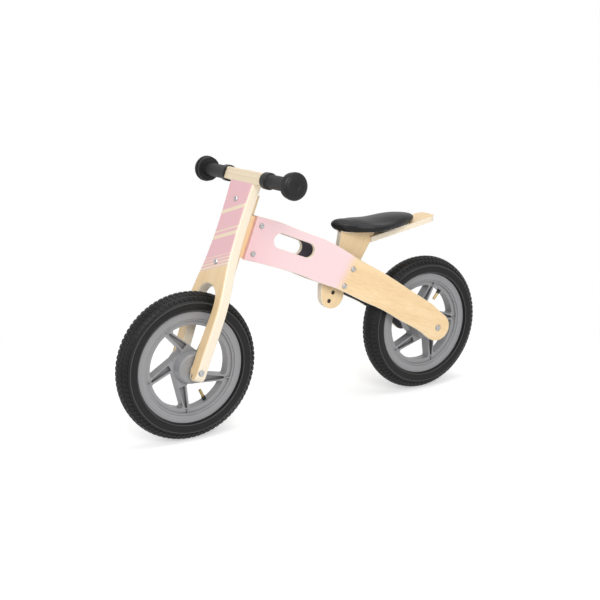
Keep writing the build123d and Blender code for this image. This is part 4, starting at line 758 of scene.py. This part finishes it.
def make_saddle():
    """The padded saddle: the cover swells over its foam and puckers where it turns under the nose."""
    size = sizes()
    low, high = (Vector(v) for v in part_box("seat_cushion"))
    saddle = copy_of("seat_cushion", "saddle")
    # The pocket is filled first, so that the padding swells as one plain volume.
    choose(base_room("saddle_plug", PLUG_GROW), saddle)
    bpy.ops.object.join()
    finish_with(saddle, "REMESH", mode="VOXEL", voxel_size=4.0 * MM, use_smooth_shade=True)
    even_out(saddle, 5)
    swell(saddle, size.saddle_swell, low.z)
    # The stretched cover has no creases on its crown.
    even_out(saddle, 6)
    finish_with(saddle, "SUBSURF", levels=1, render_levels=1)
    for vertex in saddle.data.vertices:
        press_in(vertex.co, size.saddle_dip, low, high)
        plump_nose(vertex.co, size.saddle_nose, low, high)
        pucker(vertex.co, size.saddle_pucker, low, high)
    saddle.data.update()
    # Then the base board's room is cut out of it again.
    room = base_room("saddle_room", ROOM_GROW)
    finish_with(saddle, "BOOLEAN", operation="DIFFERENCE", solver="EXACT", object=room)
    bpy.data.objects.remove(room, do_unlink=True)
    choose(saddle)
    bpy.ops.object.shade_smooth_by_angle(angle=math.radians(50))
    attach(saddle, "frame")
    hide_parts("seat_cushion")
    return saddle


# The cover is blown up over this many frames.
CLOTH_FRAMES = 20
# Its lowest part, this high, stays put, and the next one, as high again, moves less than the rest.
UNDERSIDE = 6 * MM


def swell(piece, cap, bottom):
    """Blows the cover up as cloth, holding each point within cap of where it was."""
    scene = bpy.context.scene
    rest = [v.co.copy() for v in piece.data.vertices]
    choose(piece)
    cloth = piece.modifiers.new("Cloth", "CLOTH")
    settings = cloth.settings
    settings.quality = 6
    settings.mass = 0.3
    settings.tension_stiffness = 12
    settings.compression_stiffness = 12
    settings.bending_stiffness = 0.6
    settings.use_pressure = True
    settings.uniform_pressure_force = 4.0
    settings.effector_weights.gravity = 0.0
    cloth.collision_settings.use_collision = False
    cloth.point_cache.frame_start = 1
    cloth.point_cache.frame_end = CLOTH_FRAMES
    for number in range(1, CLOTH_FRAMES + 1):
        scene.frame_set(number)
    bpy.ops.object.modifier_apply(modifier=cloth.name)
    scene.frame_set(1)
    for vertex, was in zip(piece.data.vertices, rest):
        move = vertex.co - was
        # The underside stays flat on its board.
        limit = cap * min(1.0, max(0.0, (was.z - bottom - UNDERSIDE) / UNDERSIDE))
        if move.length > limit:
            move = move.normalized() * limit
        vertex.co = was + move
    piece.data.update()


# The crown's hollow begins and ends at these shares of the saddle's length behind its nose.
HOLLOW_START = 0.1
HOLLOW_END = 0.82
# It is as deep at the middle as this share of its depth at the edges, this far out.
HOLLOW_MIDDLE = 0.45
HOLLOW_HALF_WIDTH = 44 * MM
# The cover's side wall stands up to this height before the crown begins.
CROWN_START = 8 * MM
# The nose is the foremost share of the saddle's length. It is filled out from NOSE_START above the
# saddle's bottom, and fully so NOSE_RISE above that.
NOSE_SHARE = 0.2
NOSE_START = 3 * MM
NOSE_RISE = 8 * MM


def press_in(point, depth, low, high):
    """Lowers the crown between nose and tail, and most at its edges, where the foam is thinner."""
    base = low.z + CROWN_START
    behind_nose = (high.x - point.x) / (high.x - low.x)
    share = (behind_nose - HOLLOW_START) / (HOLLOW_END - HOLLOW_START)
    if point.z > base and 0.0 < share < 1.0:
        edge = min(1.0, abs(point.y) / HOLLOW_HALF_WIDTH) ** 2
        hollow = math.sin(math.pi * share) ** 2 * (HOLLOW_MIDDLE + (1 - HOLLOW_MIDDLE) * edge)
        point.z -= depth * hollow * (point.z - base) / (high.z - base)


def plump_nose(point, amount, low, high):
    """Fills out the top of the saddle's nose, which is as thick as a finger right to its end."""
    share = 1.0 - (high.x - point.x) / (NOSE_SHARE * (high.x - low.x))
    height = min(1.0, (point.z - low.z - NOSE_START) / NOSE_RISE)
    if share > 0 and height > 0:
        # Full height is reached before the tip.
        point.z += amount * min(1.0, share * 1.4) * height


# The puckers start this far behind the nose's tip and are full after PUCKER_RISE. They are deepest at
# RIM_HEIGHT above the saddle's bottom, and point away from the middle of the nose's round end.
PUCKER_START = 110 * MM
PUCKER_RISE = 80 * MM
RIM_HEIGHT = 9 * MM
NOSE_MIDDLE = 34 * MM


def pucker(point, depth, low, high):
    """Draws the cover in and out, round its lower rim, where it is gathered under the nose."""
    toward_nose = (point.x - (high.x - PUCKER_START)) / PUCKER_RISE
    lower = 1.0 - abs(point.z - (low.z + RIM_HEIGHT)) / RIM_HEIGHT
    if toward_nose > 0 and lower > 0:
        away = Vector((point.x - (high.x - NOSE_MIDDLE), point.y, 0.0))
        # Thirteen folds in a full turn round the nose, and one about every 15 mm along the sides.
        wave = math.sin(math.atan2(away.y, away.x) * 13.0 + point.x * 420.0)
        point += away.normalized() * depth * wave * min(1.0, toward_nose) * lower


# ---- operators
class BIKE_OT_side_boards(bpy.types.Operator):
    """Paint and veneer of the two side boards"""
    bl_idname = "bike.side_boards"
    bl_label = "Side boards"

    def execute(self, context):
        coat(NODES["frame_board_left"], painted_board(1))
        coat(NODES["frame_board_right"], painted_board(-1))
        return {"FINISHED"}


class BIKE_OT_fork(bpy.types.Operator):
    """Paint, stripes and veneer of the fork, and the bar's lacquer"""
    bl_idname = "bike.fork"
    bl_label = "Fork and handlebar"

    def execute(self, context):
        coat(NODES["fork_board"], painted_fork())
        coat_nodes(("handlebar", "handlebar_dowels"), lacquered_beech())
        return {"FINISHED"}


class BIKE_OT_timber(bpy.types.Operator):
    """Clear lacquer on the post, brace, plate and blocks"""
    bl_idname = "bike.timber"
    bl_label = "Plain timber"

    def execute(self, context):
        post = birch_ply("birch_ply_post", (0.0, 1.0, 0.0), POST_GRAIN, holes=True)
        coat(NODES["seat_post"], post)
        flat = birch_ply("birch_ply_flat", (0.0, 0.0, 1.0), 0.0)
        coat_nodes(("seat_base", "seat_brace"), flat)
        block = birch_ply("birch_ply_block", (0.0, 1.0, 0.0), FORK_GRAIN)
        coat_nodes(("head_block", "pivot_bracket_upper", "pivot_bracket_lower"), block)
        return {"FINISHED"}


class BIKE_OT_tyres(bpy.types.Operator):
    """Two tyres with lugs, and the tubes and valve stems"""
    bl_idname = "bike.tyres"
    bl_label = "Tyres"

    def execute(self, context):
        for end, axle in (("front", FRONT_AXLE), ("rear", REAR_AXLE)):
            # Carbon-black rubber from the mould: deep grey, dull, with rings painted paler as highlights.
            rings = [(axle, radius) for radius in wall_rings(end + "_tyre")]
            rubber = moulded(end + "_tyre_rubber", colours().tyre, 0.42, 1.2 * MM, 0.25, 0.08, ior=1.3,
                             hollow=4 * MM, rings=rings)
            coat(make_tyre(end + "_tyre_lugged", end + "_tyre", axle), rubber)
        # Butyl tube and valve rubber: black and dull, finer in grain than the tyre.
        butyl = moulded("butyl_rubber", linear("#1C1C1D"), 0.5, 0.8 * MM, 0.1, 0.05)
        coat_nodes(("front_inner_tube", "rear_inner_tube", "front_valve_stem", "rear_valve_stem"), butyl)
        return {"FINISHED"}


class BIKE_OT_wheels(bpy.types.Operator):
    """Moulded wheels and the valves' brass tips"""
    bl_idname = "bike.wheels"
    bl_label = "Wheels"

    def execute(self, context):
        # Grey nylon from a fine-sparked mould: satin, with slightly rounded edges.
        nylon = moulded("grey_moulded_nylon", colours().rim, 0.34, 0.9 * MM, 0.08, 0.03, bevel=0.8 * MM,
                        hollow=12 * MM)
        coat_nodes(("front_rim", "rear_rim"), nylon)
        coat_nodes(("front_valve_tip", "rear_valve_tip"), turned_brass())
        return {"FINISHED"}


class BIKE_OT_grips(bpy.types.Operator):
    """Two rubber grips with round guards"""
    bl_idname = "bike.grips"
    bl_label = "Grips"

    def execute(self, context):
        # Soft thermoplastic rubber: matt, with a slight sheen on its ribs.
        rubber = moulded("grip_rubber", colours().grip, 0.4, 0.9 * MM, 0.15, 0.05, ior=1.34, hollow=4 * MM)
        for node, side in (("grip_left", 1), ("grip_right", -1)):
            coat(make_grip(node + "_ribbed", node, side), rubber)
        return {"FINISHED"}


class BIKE_OT_saddle(bpy.types.Operator):
    """The padded saddle in black leathercloth"""
    bl_idname = "bike.saddle"
    bl_label = "Saddle"

    def execute(self, context):
        coat(make_saddle(), grained_vinyl())
        return {"FINISHED"}


class BIKE_OT_hardware(bpy.types.Operator):
    """Plated bolts, screws, axles and bearings, and the plain plastic rings"""
    bl_idname = "bike.hardware"
    bl_label = "Hardware"

    def execute(self, context):
        steel = zinc_steel()
        coat_nodes((
            "head_bolts", "head_sleeve_nuts", "seat_bolts", "seat_sleeve_nuts", "post_spacers_left",
            "post_spacers_right", "seat_base_screws", "brace_screws", "rear_axle", "rear_axle_bolts",
            "rear_axle_washers", "steering_pin", "steering_pin_nut", "bracket_screws", "fork_end_screws",
            "front_axle", "front_axle_bolts", "front_axle_washers", "front_bearings",
            "rear_bearings"), steel)
        # Natural acetal rings: off-white, waxy and smooth.
        acetal = moulded("natural_acetal", linear("#D9D6CE"), 0.38, 0.8 * MM, 0.04, 0.02, ior=1.48)
        coat_nodes(("head_bushes", "rear_spacers", "front_spacers"), acetal)
        return {"FINISHED"}


# Each lamp's name, place and width in metres, and power in watts.
LAMPS = (("key", (1.1, 2.8, 2.0), 1.4, 50.0), ("side", (0.0, 3.0, 0.45), 2.0, 12.0),
         ("fill", (2.6, 0.2, 1.2), 2.0, 15.0), ("top", (-0.3, 0.4, 3.0), 2.0, 34.0))


class BIKE_OT_stage(bpy.types.Operator):
    """Floor, lights and camera"""
    bl_idname = "bike.stage"
    bl_label = "Stage"

    def execute(self, context):
        scene = context.scene
        scene.view_settings.view_transform = "Standard"
        choose()
        bpy.ops.mesh.primitive_plane_add(size=40.0, location=(0.0, 0.0, 0.0))
        floor = context.object
        floor.name = "floor"
        coat(floor, studio_floor())
        white_world(scene)
        for name, place, size, power in LAMPS:
            bpy.ops.object.light_add(type="AREA", location=place)
            lamp = context.object
            lamp.name = name
            lamp.data.size = size
            lamp.data.energy = power
            aim = Vector((0.0, 0.0, 0.25)) - Vector(place)
            lamp.rotation_euler = aim.to_track_quat("-Z", "Y").to_euler()
        place_camera(scene)
        return {"FINISHED"}


WHITE = (1.0, 1.0, 1.0, 1.0)


def seen(tree):
    """1 for what the camera sees directly, through something clear or in a reflection, and 0 for light."""
    path = add_node(tree, "ShaderNodeLightPath")
    eye = add_node(tree, "ShaderNodeMath", {
        0: path.outputs["Is Camera Ray"], 1: path.outputs["Is Transmission Ray"]}, operation="MAXIMUM")
    return add_node(tree, "ShaderNodeMath", {
        0: eye.outputs[0], 1: path.outputs["Is Glossy Ray"]}, operation="MAXIMUM").outputs[0]


def studio_floor():
    """White seamless paper that keeps the object's shadow and runs out to plain white."""
    # Matt paper: lit by the lamps near the bike, and plain white further off.
    material, tree, place = new_material("white_studio_paper")
    paper = add_node(tree, "ShaderNodeBsdfDiffuse", {"Color": linear("#F2F2F2")})
    lift = add_node(tree, "ShaderNodeEmission", {"Color": WHITE, "Strength": 0.42})
    lifted = add_node(tree, "ShaderNodeAddShader", {0: paper.outputs["BSDF"], 1: lift.outputs["Emission"]})
    white = add_node(tree, "ShaderNodeEmission", {"Color": WHITE, "Strength": 1.0})
    reach = add_node(tree, "ShaderNodeVectorMath", {0: place}, operation="LENGTH")
    far = add_node(tree, "ShaderNodeMapRange", {
        "Value": reach.outputs["Value"], "From Min": 0.55, "From Max": 1.0}, interpolation_type="SMOOTHSTEP")
    near_or_far = add_node(tree, "ShaderNodeMixShader", {
        0: far.outputs["Result"], 1: lifted.outputs["Shader"], 2: white.outputs["Emission"]})
    mixed = add_node(tree, "ShaderNodeMixShader", {
        0: seen(tree), 1: paper.outputs["BSDF"], 2: near_or_far.outputs["Shader"]})
    add_node(tree, "ShaderNodeOutputMaterial", {"Surface": mixed.outputs["Shader"]})
    return material


def white_world(scene):
    """White all round to the camera, and dimmer as a light."""
    world = bpy.data.worlds.new("studio")
    scene.world = world
    world.use_nodes = True
    tree = world.node_tree
    tree.nodes.clear()
    strength = add_node(tree, "ShaderNodeMapRange", {"Value": seen(tree), "To Min": 0.34})
    light = add_node(tree, "ShaderNodeBackground", {
        "Color": WHITE, "Strength": strength.outputs["Result"]})
    add_node(tree, "ShaderNodeOutputWorld", {"Surface": light.outputs["Background"]})


def place_camera(scene):
    """A long lens ahead of the bike and to its left, a little above it."""
    azimuth, elevation, reach = math.radians(148.03), math.radians(13.88), 2.2705
    target = Vector((0.0246, 0.0, 0.245))
    back = Vector((math.sin(azimuth) * math.cos(elevation), -math.cos(azimuth) * math.cos(elevation),
                   math.sin(elevation)))
    bpy.ops.object.camera_add()
    camera = bpy.context.object
    camera.data.lens = 65.56
    camera.data.sensor_width = 36.0
    turn = (-back).to_track_quat("-Z", "Y").to_matrix().to_4x4()
    roll = Matrix.Rotation(math.radians(-0.88), 4, "Z")
    camera.matrix_world = Matrix.Translation(target + back * reach) @ turn @ roll
    scene.camera = camera


class BIKE_PT_panel(bpy.types.Panel):
    """Buttons that build and finish the bike's pieces"""
    bl_idname = "BIKE_PT_panel"
    bl_label = "Balance Bike"
    bl_space_type = "VIEW_3D"
    bl_region_type = "UI"
    bl_category = "Bike"

    def draw(self, context):
        for group in (context.scene.bike_sizes, context.scene.bike_colours):
            for key in group.__annotations__:
                self.layout.prop(group, key)
        for operator in STEPS:
            self.layout.operator(operator.bl_idname)


STEPS = (BIKE_OT_side_boards, BIKE_OT_fork, BIKE_OT_timber, BIKE_OT_tyres, BIKE_OT_wheels, BIKE_OT_grips,
         BIKE_OT_saddle, BIKE_OT_hardware, BIKE_OT_stage)
CLASSES = (BikeSizes, BikeColours, *STEPS, BIKE_PT_panel)


def register():
    for cls in CLASSES:
        bpy.utils.register_class(cls)
    bpy.types.Scene.bike_sizes = bpy.props.PointerProperty(type=BikeSizes)
    bpy.types.Scene.bike_colours = bpy.props.PointerProperty(type=BikeColours)


def unregister():
    del bpy.types.Scene.bike_colours
    del bpy.types.Scene.bike_sizes
    for cls in reversed(CLASSES):
        bpy.utils.unregister_class(cls)


def main():
    """Builds every piece in order."""
    register()
    for operator in STEPS:
        group, name = operator.bl_idname.split(".")
        getattr(getattr(bpy.ops, group), name)()


if __name__ == "__main__":
    main()
